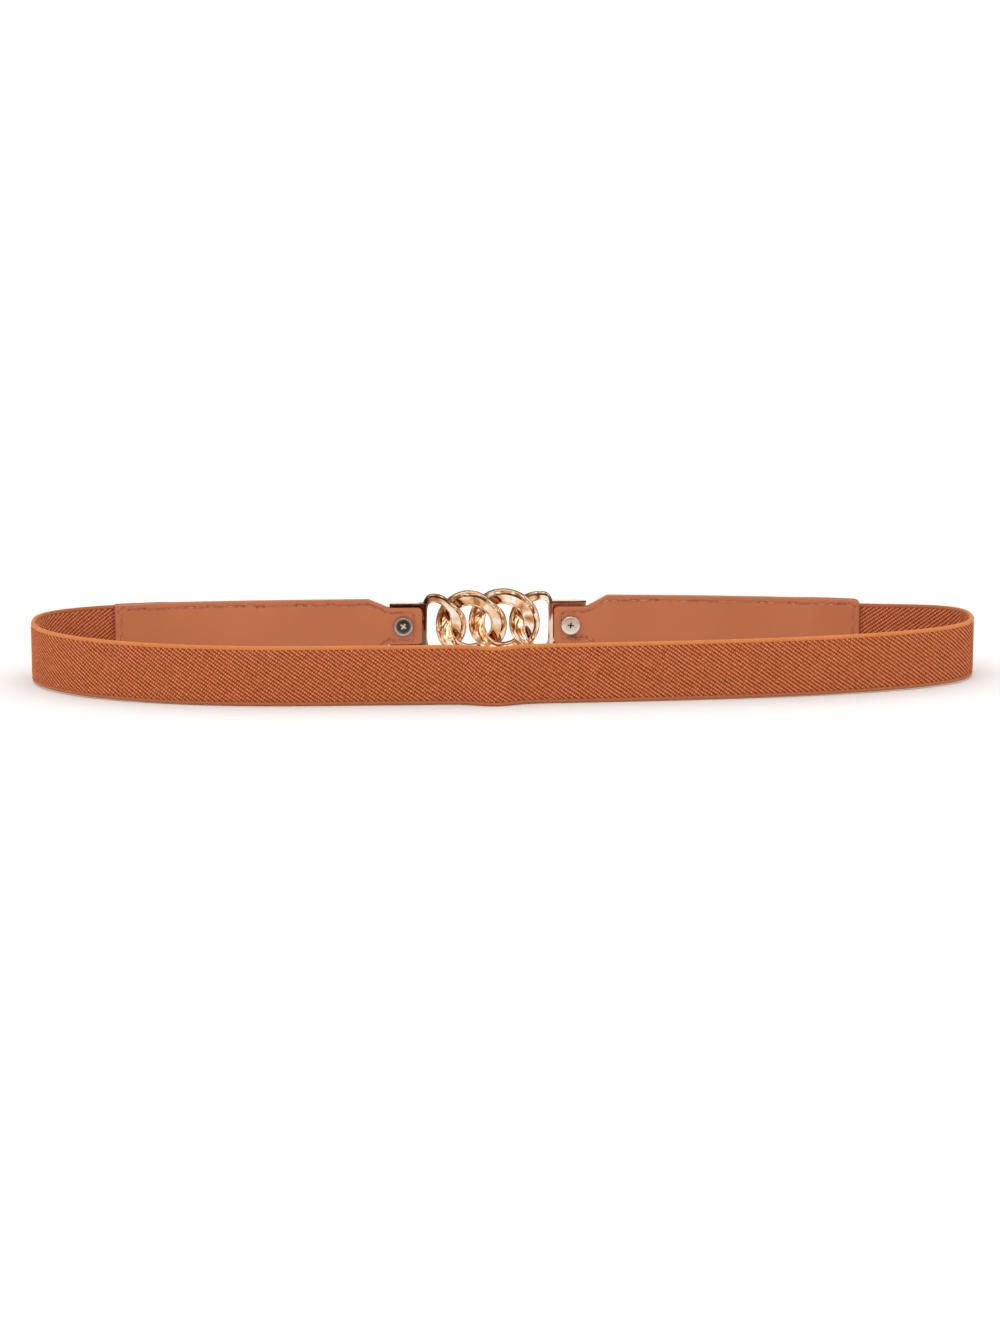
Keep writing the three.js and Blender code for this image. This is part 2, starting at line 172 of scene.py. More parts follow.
def add_panels(tree):
    """What polished metal mirrors: lamps and gaps in front, dark sides and roof, and a pale wall behind."""
    way = tree.nodes.new("ShaderNodeTexCoord")
    panels = tree.nodes.new("ShaderNodeTexNoise")
    panels.inputs["Scale"].default_value = PANEL_SCALE
    panels.inputs["Detail"].default_value = PANEL_DETAIL
    panels.inputs["Distortion"].default_value = PANEL_DISTORTION
    link(tree, way.outputs["Generated"], panels.inputs["Vector"])
    tones = tree.nodes.new("ShaderNodeValToRGB")
    ramp = tones.color_ramp
    ramp.elements[0].position, ramp.elements[-1].position = PANEL_TONES[0][0], PANEL_TONES[-1][0]
    for place, _ in PANEL_TONES[1:-1]:
        ramp.elements.new(place)
    for element, (_, colour) in zip(ramp.elements, PANEL_TONES):
        element.color = (*colour, 1)
    link(tree, panels.outputs["Fac"], tones.inputs["Fac"])
    parts = parts_of(tree, way.outputs["Generated"])
    sides = wall(tree, parts["Y"], SIDES_REACH, tones.outputs["Color"], SIDE_COLOUR)
    roofed = wall(tree, parts["Z"], ROOF_REACH, sides, SIDE_COLOUR)
    walls = wall(tree, parts["Y"], BACK_WALL_REACH, roofed, BACK_WALL_COLOUR)
    mirrored = tree.nodes.new("ShaderNodeBackground")
    mirrored.inputs["Strength"].default_value = PANEL_STRENGTH
    link(tree, walls, mirrored.inputs["Color"])
    return mirrored.outputs["Background"]


def plain_light(tree, colour, strength):
    light = tree.nodes.new("ShaderNodeBackground")
    light.inputs["Color"].default_value = colour
    light.inputs["Strength"].default_value = strength
    return light.outputs["Background"]


def add_tent():
    """An even white world. Mirror-like rays see the panels instead, and the camera sees plain white."""
    world = bpy.data.worlds.new("tent")
    world.use_nodes = True
    tree = world.node_tree
    tree.nodes.clear()
    even = plain_light(tree, TENT_COLOUR, TENT_STRENGTH)
    ray = tree.nodes.new("ShaderNodeLightPath")
    by_gloss = tree.nodes.new("ShaderNodeMixShader")
    link(tree, ray.outputs["Is Glossy Ray"], by_gloss.inputs["Fac"])
    link(tree, even, by_gloss.inputs[1])
    link(tree, add_panels(tree), by_gloss.inputs[2])
    by_camera = tree.nodes.new("ShaderNodeMixShader")
    link(tree, ray.outputs["Is Camera Ray"], by_camera.inputs["Fac"])
    link(tree, by_gloss.outputs["Shader"], by_camera.inputs[1])
    link(tree, plain_light(tree, BACKDROP_COLOUR, BACKDROP_STRENGTH), by_camera.inputs[2])
    end = tree.nodes.new("ShaderNodeOutputWorld")
    link(tree, by_camera.outputs["Shader"], end.inputs["Surface"])
    bpy.context.scene.world = world


def add_key():
    lamp = bpy.data.lights.new("soft_box", "AREA")
    lamp.size = KEY_SIZE
    lamp.energy = KEY_POWER
    lamp.color = KEY_COLOUR
    key = bpy.data.objects.new("soft_box", lamp)
    key.location = KEY_PLACE
    key.rotation_euler = (BELT_MIDDLE - KEY_PLACE).to_track_quat("-Z", "Y").to_euler()
    bpy.context.scene.collection.objects.link(key)


add_floor()
add_tent()
add_key()
bpy.context.scene.view_settings.view_transform = "Standard"
print("Studio: a floor, a white tent and one soft box")

# %% [markdown]
# Every part of the belt follows one line, the loop that the band's middle makes seen from above.
# It is a superellipse in four quarters with a straight stretch behind the buckle, and a low bulge in front
# where the band was once folded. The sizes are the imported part's own, so that the looks land on its solids.

# %% The loop
BAND_HEIGHT = 19.4
BAND_THICKNESS = 1.6
BAND_EDGE_RADIUS = 0.6
BAND_STEP = 3.4
LOOP_HALF_LENGTH = 156.8
FRONT_DEPTH = 50.6
BACK_DEPTH = 31
FRONT_CREST_X = -65
BUCKLE_X = -4
STRAIGHT_HALF = 34.1
CORNERS = {"back_right": 2.57, "front_right": 2.76, "front_left": 2.09, "back_left": 3.23}
FOLD_X = -5.5
FOLD_OUT = 4.1
FOLD_WIDTH = 7.5
QUARTER_STEPS = 400
TANGENT_REACH = 0.8


def quarter(crest_x, depth, end_x, exponent):
    """One quarter of the loop, from its crest to the loop's end at y = 0."""
    turn = np.linspace(0, math.pi / 2, QUARTER_STEPS + 1)
    across = np.abs(np.sin(turn)) ** (2 / exponent)
    along = np.abs(np.cos(turn)) ** (2 / exponent)
    return np.stack([crest_x + (end_x - crest_x) * across, depth * along], axis=1)


def loop_line():
    """The middle line, clockwise seen from above, starting and ending behind the buckle."""
    right_start = BUCKLE_X + STRAIGHT_HALF
    left_start = BUCKLE_X - STRAIGHT_HALF
    back_right = quarter(right_start, BACK_DEPTH, LOOP_HALF_LENGTH, CORNERS["back_right"])
    front_right = quarter(FRONT_CREST_X, -FRONT_DEPTH, LOOP_HALF_LENGTH, CORNERS["front_right"])[::-1]
    front_left = quarter(FRONT_CREST_X, -FRONT_DEPTH, -LOOP_HALF_LENGTH, CORNERS["front_left"])
    back_left = quarter(left_start, BACK_DEPTH, -LOOP_HALF_LENGTH, CORNERS["back_left"])[::-1]
    front = np.concatenate([front_right[1:], front_left[1:]])
    front[:, 1] -= FOLD_OUT * np.exp(-(((front[:, 0] - FOLD_X) / FOLD_WIDTH) ** 2))
    middle = np.array([[BUCKLE_X, BACK_DEPTH]])
    return np.concatenate([middle, back_right, front, back_left[1:], middle])


line = loop_line()
line_lengths = np.concatenate([[0], np.cumsum(np.linalg.norm(np.diff(line, axis=0), axis=1))])
LOOP_LENGTH = line_lengths[-1]


def line_point(distance):
    """The middle line's x and y at distances from the buckle's middle; negative distances go left."""
    place = np.mod(distance, LOOP_LENGTH)
    return np.interp(place, line_lengths, line[:, 0]), np.interp(place, line_lengths, line[:, 1])


def on_loop(distance, out, z):
    """Points at a distance along the loop, out from its middle line, and up. The inputs may be grids."""
    distance, out, z = np.broadcast_arrays(distance, out, z)
    x, y = line_point(distance)
    ahead_x, ahead_y = line_point(distance + TANGENT_REACH)
    behind_x, behind_y = line_point(distance - TANGENT_REACH)
    run_x, run_y = ahead_x - behind_x, ahead_y - behind_y
    run = np.hypot(run_x, run_y)
    return np.stack([x - run_y / run * out, y + run_x / run * out, z], axis=-1)


print("The loop is", round(LOOP_LENGTH, 1), "mm around")

# %% [markdown]
# The links hang a little lower than the band, so the belt leans back onto them by less than a degree.
# The lean follows from that drop and the loop's depth, and where the leaned belt stands is found by laying
# the band's outline over its imported solid.

# %% Stand the belt in the frame
LINKS_BELOW_BAND = 1.25
LINK_PLANE = 0.75
TAB_END = 128
BAND_OVERLAP = 14
BAND_RISE = {"left": 0.35, "right": -1}
BAND_RISE_REACH = {"left": 37, "right": 40}
BAND_FROM = TAB_END - BAND_OVERLAP
BAND_TO = LOOP_LENGTH - TAB_END + BAND_OVERLAP
LEAN = math.atan2(LINKS_BELOW_BAND, BACK_DEPTH + LINK_PLANE - line[:, 1].min() + BAND_THICKNESS / 2)


def smoothstep(value):
    share = np.clip(value, 0, 1)
    return share * share * (3 - 2 * share)


def band_lift(distance):
    """How far the band lies above its level: its ends are sewn in a little higher or lower than the rest."""
    right = 1 - smoothstep((distance - TAB_END) / BAND_RISE_REACH["right"])
    left = 1 - smoothstep((LOOP_LENGTH - TAB_END - distance) / BAND_RISE_REACH["left"])
    return BAND_RISE["right"] * right + BAND_RISE["left"] * left


def leaned(points):
    """Level points, turned back by the lean."""
    x, y, z = np.moveaxis(np.asarray(points, float), -1, 0)
    cos, sin = math.cos(LEAN), math.sin(LEAN)
    return np.stack([x, y * cos - z * sin, y * sin + z * cos], axis=-1)


def packed_shift():
    """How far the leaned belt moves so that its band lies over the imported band."""
    count = round((BAND_TO - BAND_FROM) / BAND_STEP)
    stations = np.linspace(BAND_FROM, BAND_TO, count + 1)[:, None]
    flat = BAND_THICKNESS / 2 - BAND_EDGE_RADIUS
    outs = np.array([flat, BAND_THICKNESS / 2, -flat, -BAND_THICKNESS / 2] * 2)
    low, high = BAND_EDGE_RADIUS, BAND_HEIGHT - BAND_EDGE_RADIUS
    heights = np.array([0, low, 0, low, BAND_HEIGHT, high, BAND_HEIGHT, high])
    outline = leaned(on_loop(stations, outs, heights + band_lift(stations))).reshape(-1, 3)
    packed_low, packed_high = [np.array(corner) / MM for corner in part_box("elastic_band")]
    return ((packed_low - outline.min(0)) + (packed_high - outline.max(0))) / 2


BELT_SHIFT = packed_shift()


def stand(points):
    """Level millimetres into the frame's metres."""
    return (leaned(points) + BELT_SHIFT) * MM


print("Lean", round(math.degrees(LEAN), 3), "degrees, shift", BELT_SHIFT.round(3), "mm")

# %% [markdown]
# Nearly every piece of a belt is a section carried along a path: a cord, a strap, a ring, a turned screw.
# So one helper makes them all. It joins a row of like sections with triangles and closes the ends, or joins
# the last section to the first for a ring. A second helper makes the object and hides the imported node that
# it stands for.

# %% Skins and pieces


def skin(sections, ring=False):
    """Points and triangles of a closed skin over sections, an array of (station, corner, xyz)."""
    stations, corners = sections.shape[:2]
    number = np.arange(stations * corners).reshape(stations, corners)
    here = number if ring else number[:-1]
    there = np.roll(number, -1, axis=0) if ring else number[1:]
    here_next = np.roll(here, -1, axis=1)
    there_next = np.roll(there, -1, axis=1)
    first = np.stack([here, here_next, there_next], axis=-1).reshape(-1, 3)
    second = np.stack([here, there_next, there], axis=-1).reshape(-1, 3)
    triangles = [first, second]
    if not ring:
        fan = np.arange(1, corners - 1)
        start = np.stack([np.zeros_like(fan), fan + 1, fan], axis=-1)
        end = np.stack([np.zeros_like(fan), fan, fan + 1], axis=-1)
        triangles += [start, end + number[-1, 0]]
    return facing_out(sections.reshape(-1, 3), np.concatenate(triangles))


def facing_out(points, triangles):
    """The same skin with its faces turned outwards."""
    a, b, c = (points[triangles[:, k]] for k in range(3))
    volume = np.einsum("ij,ij->i", a, np.cross(b, c)).sum() / 6
    return points, triangles if volume > 0 else triangles[:, ::-1]


def joined(skins):
    """Several skins as one."""
    points = np.concatenate([skin_points for skin_points, _ in skins])
    starts = np.cumsum([0] + [len(skin_points) for skin_points, _ in skins[:-1]])
    triangles = np.concatenate([faces + start for (_, faces), start in zip(skins, starts)])
    return points, triangles


def mesh_of(name, points, triangles):
    mesh = bpy.data.meshes.new(name)
    mesh.from_pydata(points.tolist(), [], triangles.tolist())
    mesh.shade_smooth()
    return mesh


def add_piece(name, mesh, material, node):
    """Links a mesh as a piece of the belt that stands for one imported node."""
    mesh.materials.append(material)
    piece = bpy.data.objects.new(name, mesh)
    bpy.context.scene.collection.objects.link(piece)
    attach(piece, "root")
    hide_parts(node)
    print(name, "has", len(mesh.polygons), "faces")
    return piece


def write_marks(mesh, name, values):
    """Stores three numbers at each point, for a material to read."""
    marks = mesh.attributes.new(name, "FLOAT_VECTOR", "POINT")
    marks.data.foreach_set("vector", np.ascontiguousarray(values, np.float32).reshape(-1))


print("Helpers: skin, joined, mesh_of, add_piece, write_marks")

# %% [markdown]
# Three effects are node groups, each built once and placed in a material with its own values: the soft
# patches and fine specks that dye and wear leave, the twill of the elastic, and the patches of painted
# reflection on polished metal. The groups only put out masks and heights. The surface shader stays in each
# material.

# %% Shared shader groups
CROSSING_SLANT = 2.0
STRAY_SCALE = 0.55
STRAY_AMOUNT = 1.6


def new_group(name, inputs, outputs):
    """A shader node group with float or vector inputs (name, kind, default) and float outputs."""
    group = bpy.data.node_groups.new(name, "ShaderNodeTree")
    for socket, kind, default in inputs:
        made = group.interface.new_socket(socket, in_out="INPUT", socket_type=kind)
        if default is not None:
            made.default_value = default
    for socket in outputs:
        group.interface.new_socket(socket, in_out="OUTPUT", socket_type="NodeSocketFloat")
    return group, group.nodes.new("NodeGroupInput"), group.nodes.new("NodeGroupOutput")


def math_node(tree, operation, first, second=None, third=None):
    """A Math node whose inputs are sockets or numbers, and its output."""
    node = tree.nodes.new("ShaderNodeMath")
    node.operation = operation
    for socket, value in zip(node.inputs, (first, second, third)):
        if isinstance(value, (int, float)):
            socket.default_value = value
        elif value is not None:
            link(tree, value, socket)
    return node.outputs[0]


def noise(tree, vector, scale, detail=2.0, roughness=0.5):
    node = tree.nodes.new("ShaderNodeTexNoise")
    node.inputs["Detail"].default_value = detail
    node.inputs["Roughness"].default_value = roughness
    link(tree, vector, node.inputs["Vector"])
    if isinstance(scale, (int, float)):
        node.inputs["Scale"].default_value = scale
    else:
        link(tree, scale, node.inputs["Scale"])
    return node.outputs["Fac"]


def swing(tree, phase):
    """A wave from 0 to 1 that is highest at whole numbers of the phase."""
    turned = math_node(tree, "MULTIPLY", phase, 2 * math.pi)
    wave = math_node(tree, "COSINE", turned)
    return math_node(tree, "MULTIPLY_ADD", wave, 0.5, 0.5)


def patches_group():
    """Soft patches and fine specks, both about 0.5, for colours that vary a little."""
    vector = ("Place", "NodeSocketVector", None)
    group, start, end = new_group(
        "soft_patches",
        [vector, ("Patch Scale", "NodeSocketFloat", 40.0), ("Speck Scale", "NodeSocketFloat", 900.0)],
        ["Patches", "Specks"],
    )
    patches = noise(group, start.outputs["Place"], start.outputs["Patch Scale"], 3.0)
    specks = noise(group, start.outputs["Place"], start.outputs["Speck Scale"], 2.0, 0.6)
    link(group, patches, end.inputs["Patches"])
    link(group, specks, end.inputs["Specks"])
    return group


def twill_group():
    """The elastic's twill from its marks: the ridges' crests, and the separate stitches that cross them."""
    group, start, end = new_group(
        "twill",
        [
            ("Marks", "NodeSocketVector", None),
            ("Along", "NodeSocketFloat", 1.9),
            ("Up", "NodeSocketFloat", 1.35),
        ],
        ["Crest", "Stitch"],
    )
    parts = parts_of(group, start.outputs["Marks"])
    across = math_node(group, "DIVIDE", parts["X"], start.outputs["Along"])
    upward = math_node(group, "DIVIDE", parts["Y"], start.outputs["Up"])
    drift = noise(group, start.outputs["Marks"], STRAY_SCALE, 2.0)
    stray = math_node(group, "MULTIPLY_ADD", drift, STRAY_AMOUNT, -STRAY_AMOUNT / 2)
    crossing = math_node(group, "MULTIPLY_ADD", across, CROSSING_SLANT, stray)
    stitch = swing(group, math_node(group, "ADD", upward, crossing))
    link(group, parts["Z"], end.inputs["Crest"])
    link(group, stitch, end.inputs["Stitch"])
    return group


def scaled(tree, vector, factor):
    """A vector times a number, both of them sockets."""
    node = tree.nodes.new("ShaderNodeVectorMath")
    node.operation = "SCALE"
    link(tree, vector, node.inputs[0])
    link(tree, factor, node.inputs["Scale"])
    return node.outputs[0]


def painted_reflections_group():
    """Painted reflections: patches that follow the place and jump where the surface turns, as reflections in
    polished metal do.
    """
    group, start, end = new_group(
        "painted_reflections",
        [
            ("Place", "NodeSocketVector", None),
            ("Facing", "NodeSocketVector", None),
            ("Scale", "NodeSocketFloat", 240.0),
            ("Turn", "NodeSocketFloat", 1.5),
        ],
        ["Patches"],
    )
    both = group.nodes.new("ShaderNodeVectorMath")
    both.operation = "ADD"
    link(group, scaled(group, start.outputs["Place"], start.outputs["Scale"]), both.inputs[0])
    link(group, scaled(group, start.outputs["Facing"], start.outputs["Turn"]), both.inputs[1])
    link(group, noise(group, both.outputs[0], 1.0, 1.0), end.inputs["Patches"])
    return group


soft_patches = patches_group()
painted_reflections = painted_reflections_group()
twill = twill_group()
print("Groups:", [group.name for group in bpy.data.node_groups])

# %% [markdown]
# A material here is a Principled shader with a colour made of a few mixed tones, and a Bump node for what is
# too fine to model. These helpers keep each material down to the choices that matter.

# %% Material helpers


class Finish:
    """One material under construction: its node tree, its surface shader and the marks that it reads."""

    def __init__(self, name, roughness, metallic=0.0):
        self.material = bpy.data.materials.new(name)
        self.material.use_nodes = True
        self.tree = self.material.node_tree
        self.surface = self.tree.nodes["Principled BSDF"]
        self.surface.inputs["Roughness"].default_value = roughness
        self.surface.inputs["Metallic"].default_value = metallic

    def fixed(self, values):
        """Sets what is the same all over the surface on the shader's own sockets."""
        for socket, value in values.items():
            self.surface.inputs[socket].default_value = value

    def place(self):
        return self.tree.nodes.new("ShaderNodeTexCoord").outputs["Object"]

    def facing(self):
        return self.tree.nodes.new("ShaderNodeTexCoord").outputs["Normal"]

    def parts(self, vector):
        return parts_of(self.tree, vector)

    def marks(self, name):
        node = self.tree.nodes.new("ShaderNodeAttribute")
        node.attribute_name = name
        return node.outputs["Vector"]

    def group(self, group, **values):
        """Places a node group. A value is a number or a socket, and an underscore stands for a space."""
        node = self.tree.nodes.new("ShaderNodeGroup")
        node.node_tree = group
        for key, value in values.items():
            socket = node.inputs[key.replace("_", " ")]
            if isinstance(value, (int, float)):
                socket.default_value = value
            else:
                link(self.tree, value, socket)
        return node.outputs

    def mix(self, share, low, high):
        """A colour between two, which are colours or sockets."""
        node = self.tree.nodes.new("ShaderNodeMix")
        node.data_type = "RGBA"
        for socket, value in ((node.inputs[0], share), (node.inputs[6], low), (node.inputs[7], high)):
            if hasattr(value, "is_linked"):
                link(self.tree, value, socket)
            else:
                socket.default_value = value
        return node.outputs[2]

    def math(self, *words):
        return math_node(self.tree, *words)

    def window(self, value, low, high, to_low=0.0, to_high=1.0):
        """A value stretched so that low to high becomes to_low to to_high."""
        node = self.tree.nodes.new("ShaderNodeMapRange")
        for socket, number in zip(node.inputs[1:5], (low, high, to_low, to_high)):
            socket.default_value = number
        link(self.tree, value, node.inputs[0])
        return node.outputs[0]

    def colour(self, socket):
        link(self.tree, socket, self.surface.inputs["Base Color"])

    def roughness(self, socket):
        link(self.tree, socket, self.surface.inputs["Roughness"])

    def bump(self, height, depth, strength=1.0):
        """Bumps whose height of 1 stands for a depth in millimetres."""
        node = self.tree.nodes.new("ShaderNodeBump")
        node.inputs["Strength"].default_value = strength
        node.inputs["Distance"].default_value = depth * MM
        link(self.tree, height, node.inputs["Height"])
        link(self.tree, node.outputs["Normal"], self.surface.inputs["Normal"])


def tone(red, green, blue):
    """A colour as it looks on screen, 0 to 255, turned into the linear values that a shader uses."""
    shares = [value / 255 for value in (red, green, blue)]
    return tuple(s / 12.92 if s < 0.04045 else ((s + 0.055) / 1.055) ** 2.4 for s in shares) + (1.0,)


print("Material helpers ready")

# %% [markdown]
# The elastic is a thick woven webbing. Its rubber is covered by yarn in a twill, so each face has fine
# slanting ridges, about thirteen of them one above another. A bump map alone would leave the outline and the
# highlights flat, so the ridges are real: a grid whose steps divide the twill's own spacing, with its
# diagonals laid along the ridges. Five steps to a ridge are enough. The stitches along each ridge are left to
# the material.

# %% The woven faces of the elastic
TWILL_ALONG = 1.9
TWILL_UP = 1.35
TWILL_STEPS = 5
TWILL_RELIEF = {"outer": 0.24, "inner": 0.34}
RIDGE_LEVEL = 0.6
RIDGE_ROUNDNESS = 0.8
RIDGE_WANDER = 0.07
WANDER_LENGTH = 9
WEAVE_LOW = 1.1
WEAVE_HIGH = 18.3
GROOVE_WIDTH = 0.42
GROOVE_DEPTH = 0.3
WEAVE_SEED = 11


def ripple(along, up, seed, length, count=7):
    """Smooth unevenness between about -1 and 1, as a sum of slanting waves of about one length."""
    draw = np.random.default_rng(seed)
    total = 0
    for _ in range(count):
        angle = draw.uniform(0, math.pi)
        wave = length * draw.uniform(0.7, 1.6)
        phase = draw.uniform(0, 2 * math.pi)
        total = total + np.sin((along * math.cos(angle) + up * math.sin(angle)) * 2 * math.pi / wave + phase)
    return total / math.sqrt(2 * count)


def twill_height(along, up):
    """0 in a groove and 1 on a ridge, with ridges that wander a little."""
    wander = RIDGE_WANDER * ripple(along, up, WEAVE_SEED, WANDER_LENGTH)
    phase = up / TWILL_UP - along / TWILL_ALONG + wander
    return (0.5 + 0.5 * np.cos(2 * math.pi * phase)) ** RIDGE_ROUNDNESS


def woven_face(side):
    """The skin and the marks of one face of the elastic, from the middle of its thickness to its ridges."""
    way = 1 if side == "outer" else -1
    columns = math.floor((BAND_TO - BAND_FROM) / (TWILL_ALONG / TWILL_STEPS))
    along = BAND_FROM + np.arange(columns + 1)[:, None] * TWILL_ALONG / TWILL_STEPS
    rows = round((WEAVE_HIGH - WEAVE_LOW) / (TWILL_UP / TWILL_STEPS))
    up = WEAVE_LOW + np.arange(rows + 1)[None, :] * TWILL_UP / TWILL_STEPS
    height = twill_height(along, up)
    edge = np.minimum(up - WEAVE_LOW, up[0, -1] - up)
    sunk = GROOVE_DEPTH * np.exp(-((edge / GROOVE_WIDTH) ** 2))
    out = BAND_THICKNESS / 2 + TWILL_RELIEF[side] * (height - RIDGE_LEVEL) - sunk
    lift = band_lift(along)
    back_up = up[:, [-1, 0]]
    face = on_loop(along, way * out, up + lift)
    back = on_loop(along, np.zeros((1, 2)), back_up + lift)
    marks = np.stack(np.broadcast_arrays(along, up, height), axis=-1)
    back_marks = np.stack(np.broadcast_arrays(along, back_up, 0.0), axis=-1)
    return skin(np.concatenate([face, back], axis=1)), np.concatenate([marks, back_marks], axis=1)


print("Ridges one above another:", round((WEAVE_HIGH - WEAVE_LOW) / TWILL_UP, 1))

# %% [markdown]
# The yarn is dyed one colour, and the colour carries painted light: painted highlights on the crests and
# painted shade where two ridges meet. The grid's own height drives that, and the twill group adds the
# separate stitches along each ridge, whose tops get painted highlights too.

# %% The elastic's material
ELASTIC_SHADE_TO_HIGHLIGHT_TONES = {
    "outer": (tone(106, 40, 14), tone(194, 106, 62), tone(236, 156, 116)),
    "inner": (tone(108, 42, 18), tone(200, 111, 70), tone(230, 150, 112)),
}
SHEEN_TONE = tone(255, 190, 140)
STITCH_DEPTH = {"outer": 0.12, "inner": 0.08}
STITCH_CONTRAST = 0.62
STITCH_LEVEL = 0.5
STITCH_BRIDGE = 0.1
DYE_DRIFT = 0.6
GROOVE_SHADE_WINDOW = (0.34, 1.0)
CREST_HIGHLIGHT_WINDOW = (0.92, 1.45)
SPECK_SHARE = 0.22
SPECK_HEIGHT = 0.35


def elastic_finish(side):
    groove, middle, crest = ELASTIC_SHADE_TO_HIGHLIGHT_TONES[side]
    finish = Finish(f"{side}_twill", roughness=0.85)
    weave = finish.group(twill, Marks=finish.marks("weave"), Along=TWILL_ALONG, Up=TWILL_UP)
    dye = finish.group(soft_patches, Place=finish.place(), Patch_Scale=900.0, Speck_Scale=2600.0)
    broken = finish.math("MULTIPLY_ADD", weave["Stitch"], STITCH_CONTRAST, STITCH_LEVEL)
    ridge = finish.math("MULTIPLY", weave["Crest"], broken)
    bridged = finish.math("MULTIPLY_ADD", weave["Stitch"], STITCH_BRIDGE, ridge)
    uneven = finish.math("MULTIPLY_ADD", dye["Patches"], DYE_DRIFT, bridged)
    # Painted shade in the grooves between ridges, and painted highlights on the stitches along each crest.
    body = finish.mix(finish.window(uneven, *GROOVE_SHADE_WINDOW), groove, middle)
    high = finish.math("MULTIPLY", finish.window(uneven, *CREST_HIGHLIGHT_WINDOW), weave["Stitch"])
    yarn = finish.mix(high, body, crest)
    finish.colour(finish.mix(finish.window(dye["Specks"], 0.4, 0.7, 0.0, SPECK_SHARE), yarn, groove))
    finish.fixed({"Specular IOR Level": 0.06, "Sheen Weight": 0.04})
    finish.fixed({"Sheen Roughness": 0.5, "Sheen Tint": SHEEN_TONE})
    stitch_height = finish.math("MULTIPLY", weave["Stitch"], weave["Crest"])
    height = finish.math("MULTIPLY_ADD", dye["Specks"], SPECK_HEIGHT, stitch_height)
    finish.bump(height, STITCH_DEPTH[side])
    return finish.material


def add_elastic():
    for side in ("outer", "inner"):
        (points, triangles), marks = woven_face(side)
        mesh = mesh_of(f"elastic_{side}", stand(points), triangles)
        write_marks(mesh, "weave", marks)
        add_piece(f"elastic_{side}", mesh, elastic_finish(side), "elastic_band")


add_elastic()

# %% [markdown]
# Along both edges the webbing ends in a corded selvedge, a round bead of yarn that is wrapped crosswise and
# catches the light along the whole rim. It is a soft-cornered tube whose surface swells at each wrap.

# %% The corded edges
BEAD_WIDTH = 1.72
BEAD_HEIGHT = 1.3
BEAD_SIDES = 14
BEAD_STEP = 0.2
BEAD_SQUARENESS = 2.7
WRAP_SPACING = 0.62
WRAP_SWELL = 0.035
WRAP_SLANT = 0.15
FLUFF = 0.03
FLUFF_LENGTH = 1.3
THICKNESS_DRIFT = 0.05
DRIFT_LENGTH = 14
SELVEDGE_SEED = {"top": 3, "bottom": 5}
# Painted light: per edge a bright tone, a tone of painted shade between the wraps, and a tone for the side
# towards the loop's inside; the top edge's tones are a lighter copy of the bottom edge's.
SELVEDGE_LIT_AND_SHADED_TONES = {
    "top": (tone(214, 129, 65), tone(150, 72, 26), tone(175, 97, 57)),
    "bottom": (tone(178, 101, 58), tone(122, 56, 24), tone(160, 88, 52)),
}
SELVEDGE_SHEEN_TONE = tone(255, 200, 140)
LOOP_INSIDE_WINDOW = (-0.75, -0.1)
WRAP_GAP_SHADE = 0.38


def bead(middle_height, seed):
    """The skin and the marks of one corded edge. Its marks are the distance, the face and the height."""
    stations = np.arange(BAND_FROM, BAND_TO, BEAD_STEP)[:, None]
    turn = (np.arange(BEAD_SIDES) / BEAD_SIDES * 2 * math.pi)[None, :]
    power = 2 / BEAD_SQUARENESS
    sideways = np.sign(np.cos(turn)) * np.abs(np.cos(turn)) ** power
    upward = np.sign(np.sin(turn)) * np.abs(np.sin(turn)) ** power
    wrap = np.cos(2 * math.pi * (stations / WRAP_SPACING + WRAP_SLANT * upward))
    swell = 1 + WRAP_SWELL * wrap + FLUFF * ripple(stations, 2 * turn, seed, FLUFF_LENGTH)
    thick = 1 + THICKNESS_DRIFT * ripple(stations, 0, seed + 1, DRIFT_LENGTH)
    out = BEAD_WIDTH / 2 * sideways * swell * thick
    height = middle_height + BEAD_HEIGHT / 2 * upward * swell
    marks = np.stack(np.broadcast_arrays(stations, sideways, upward), axis=-1)
    return skin(on_loop(stations, out, height + band_lift(stations))), marks


def selvedge_finish(edge):
    """Painted light: the top edge is painted as a lighter copy of the bottom one, with painted shade between
    the wraps. Each edge is darker on its side towards the loop's inside.
    """
    bright, dark, inward = SELVEDGE_LIT_AND_SHADED_TONES[edge]
    finish = Finish(f"{edge}_selvedge", roughness=0.7)
    sides = finish.parts(finish.marks("edge"))
    dye = finish.group(soft_patches, Place=finish.place(), Patch_Scale=110.0, Speck_Scale=2400.0)
    wrap = swing(finish.tree, finish.math("DIVIDE", sides["X"], WRAP_SPACING))
    side_colour = finish.mix(finish.window(sides["Y"], *LOOP_INSIDE_WINDOW), inward, bright)
    # Painted shade in the gaps between the wraps.
    wrapped = finish.mix(finish.window(wrap, 0.0, 0.6, WRAP_GAP_SHADE, 0.0), side_colour, dark)
    patchy = finish.mix(finish.window(dye["Patches"], 0.35, 0.75, 0.0, 0.3), wrapped, inward)
    finish.colour(finish.mix(finish.window(dye["Specks"], 0.4, 0.75, 0.0, 0.25), patchy, dark))
    finish.fixed({"Specular IOR Level": 0.3, "Sheen Weight": 0.3, "Sheen Tint": SELVEDGE_SHEEN_TONE})
    finish.bump(finish.math("MULTIPLY_ADD", dye["Specks"], 0.5, wrap), 0.08)
    return finish.material


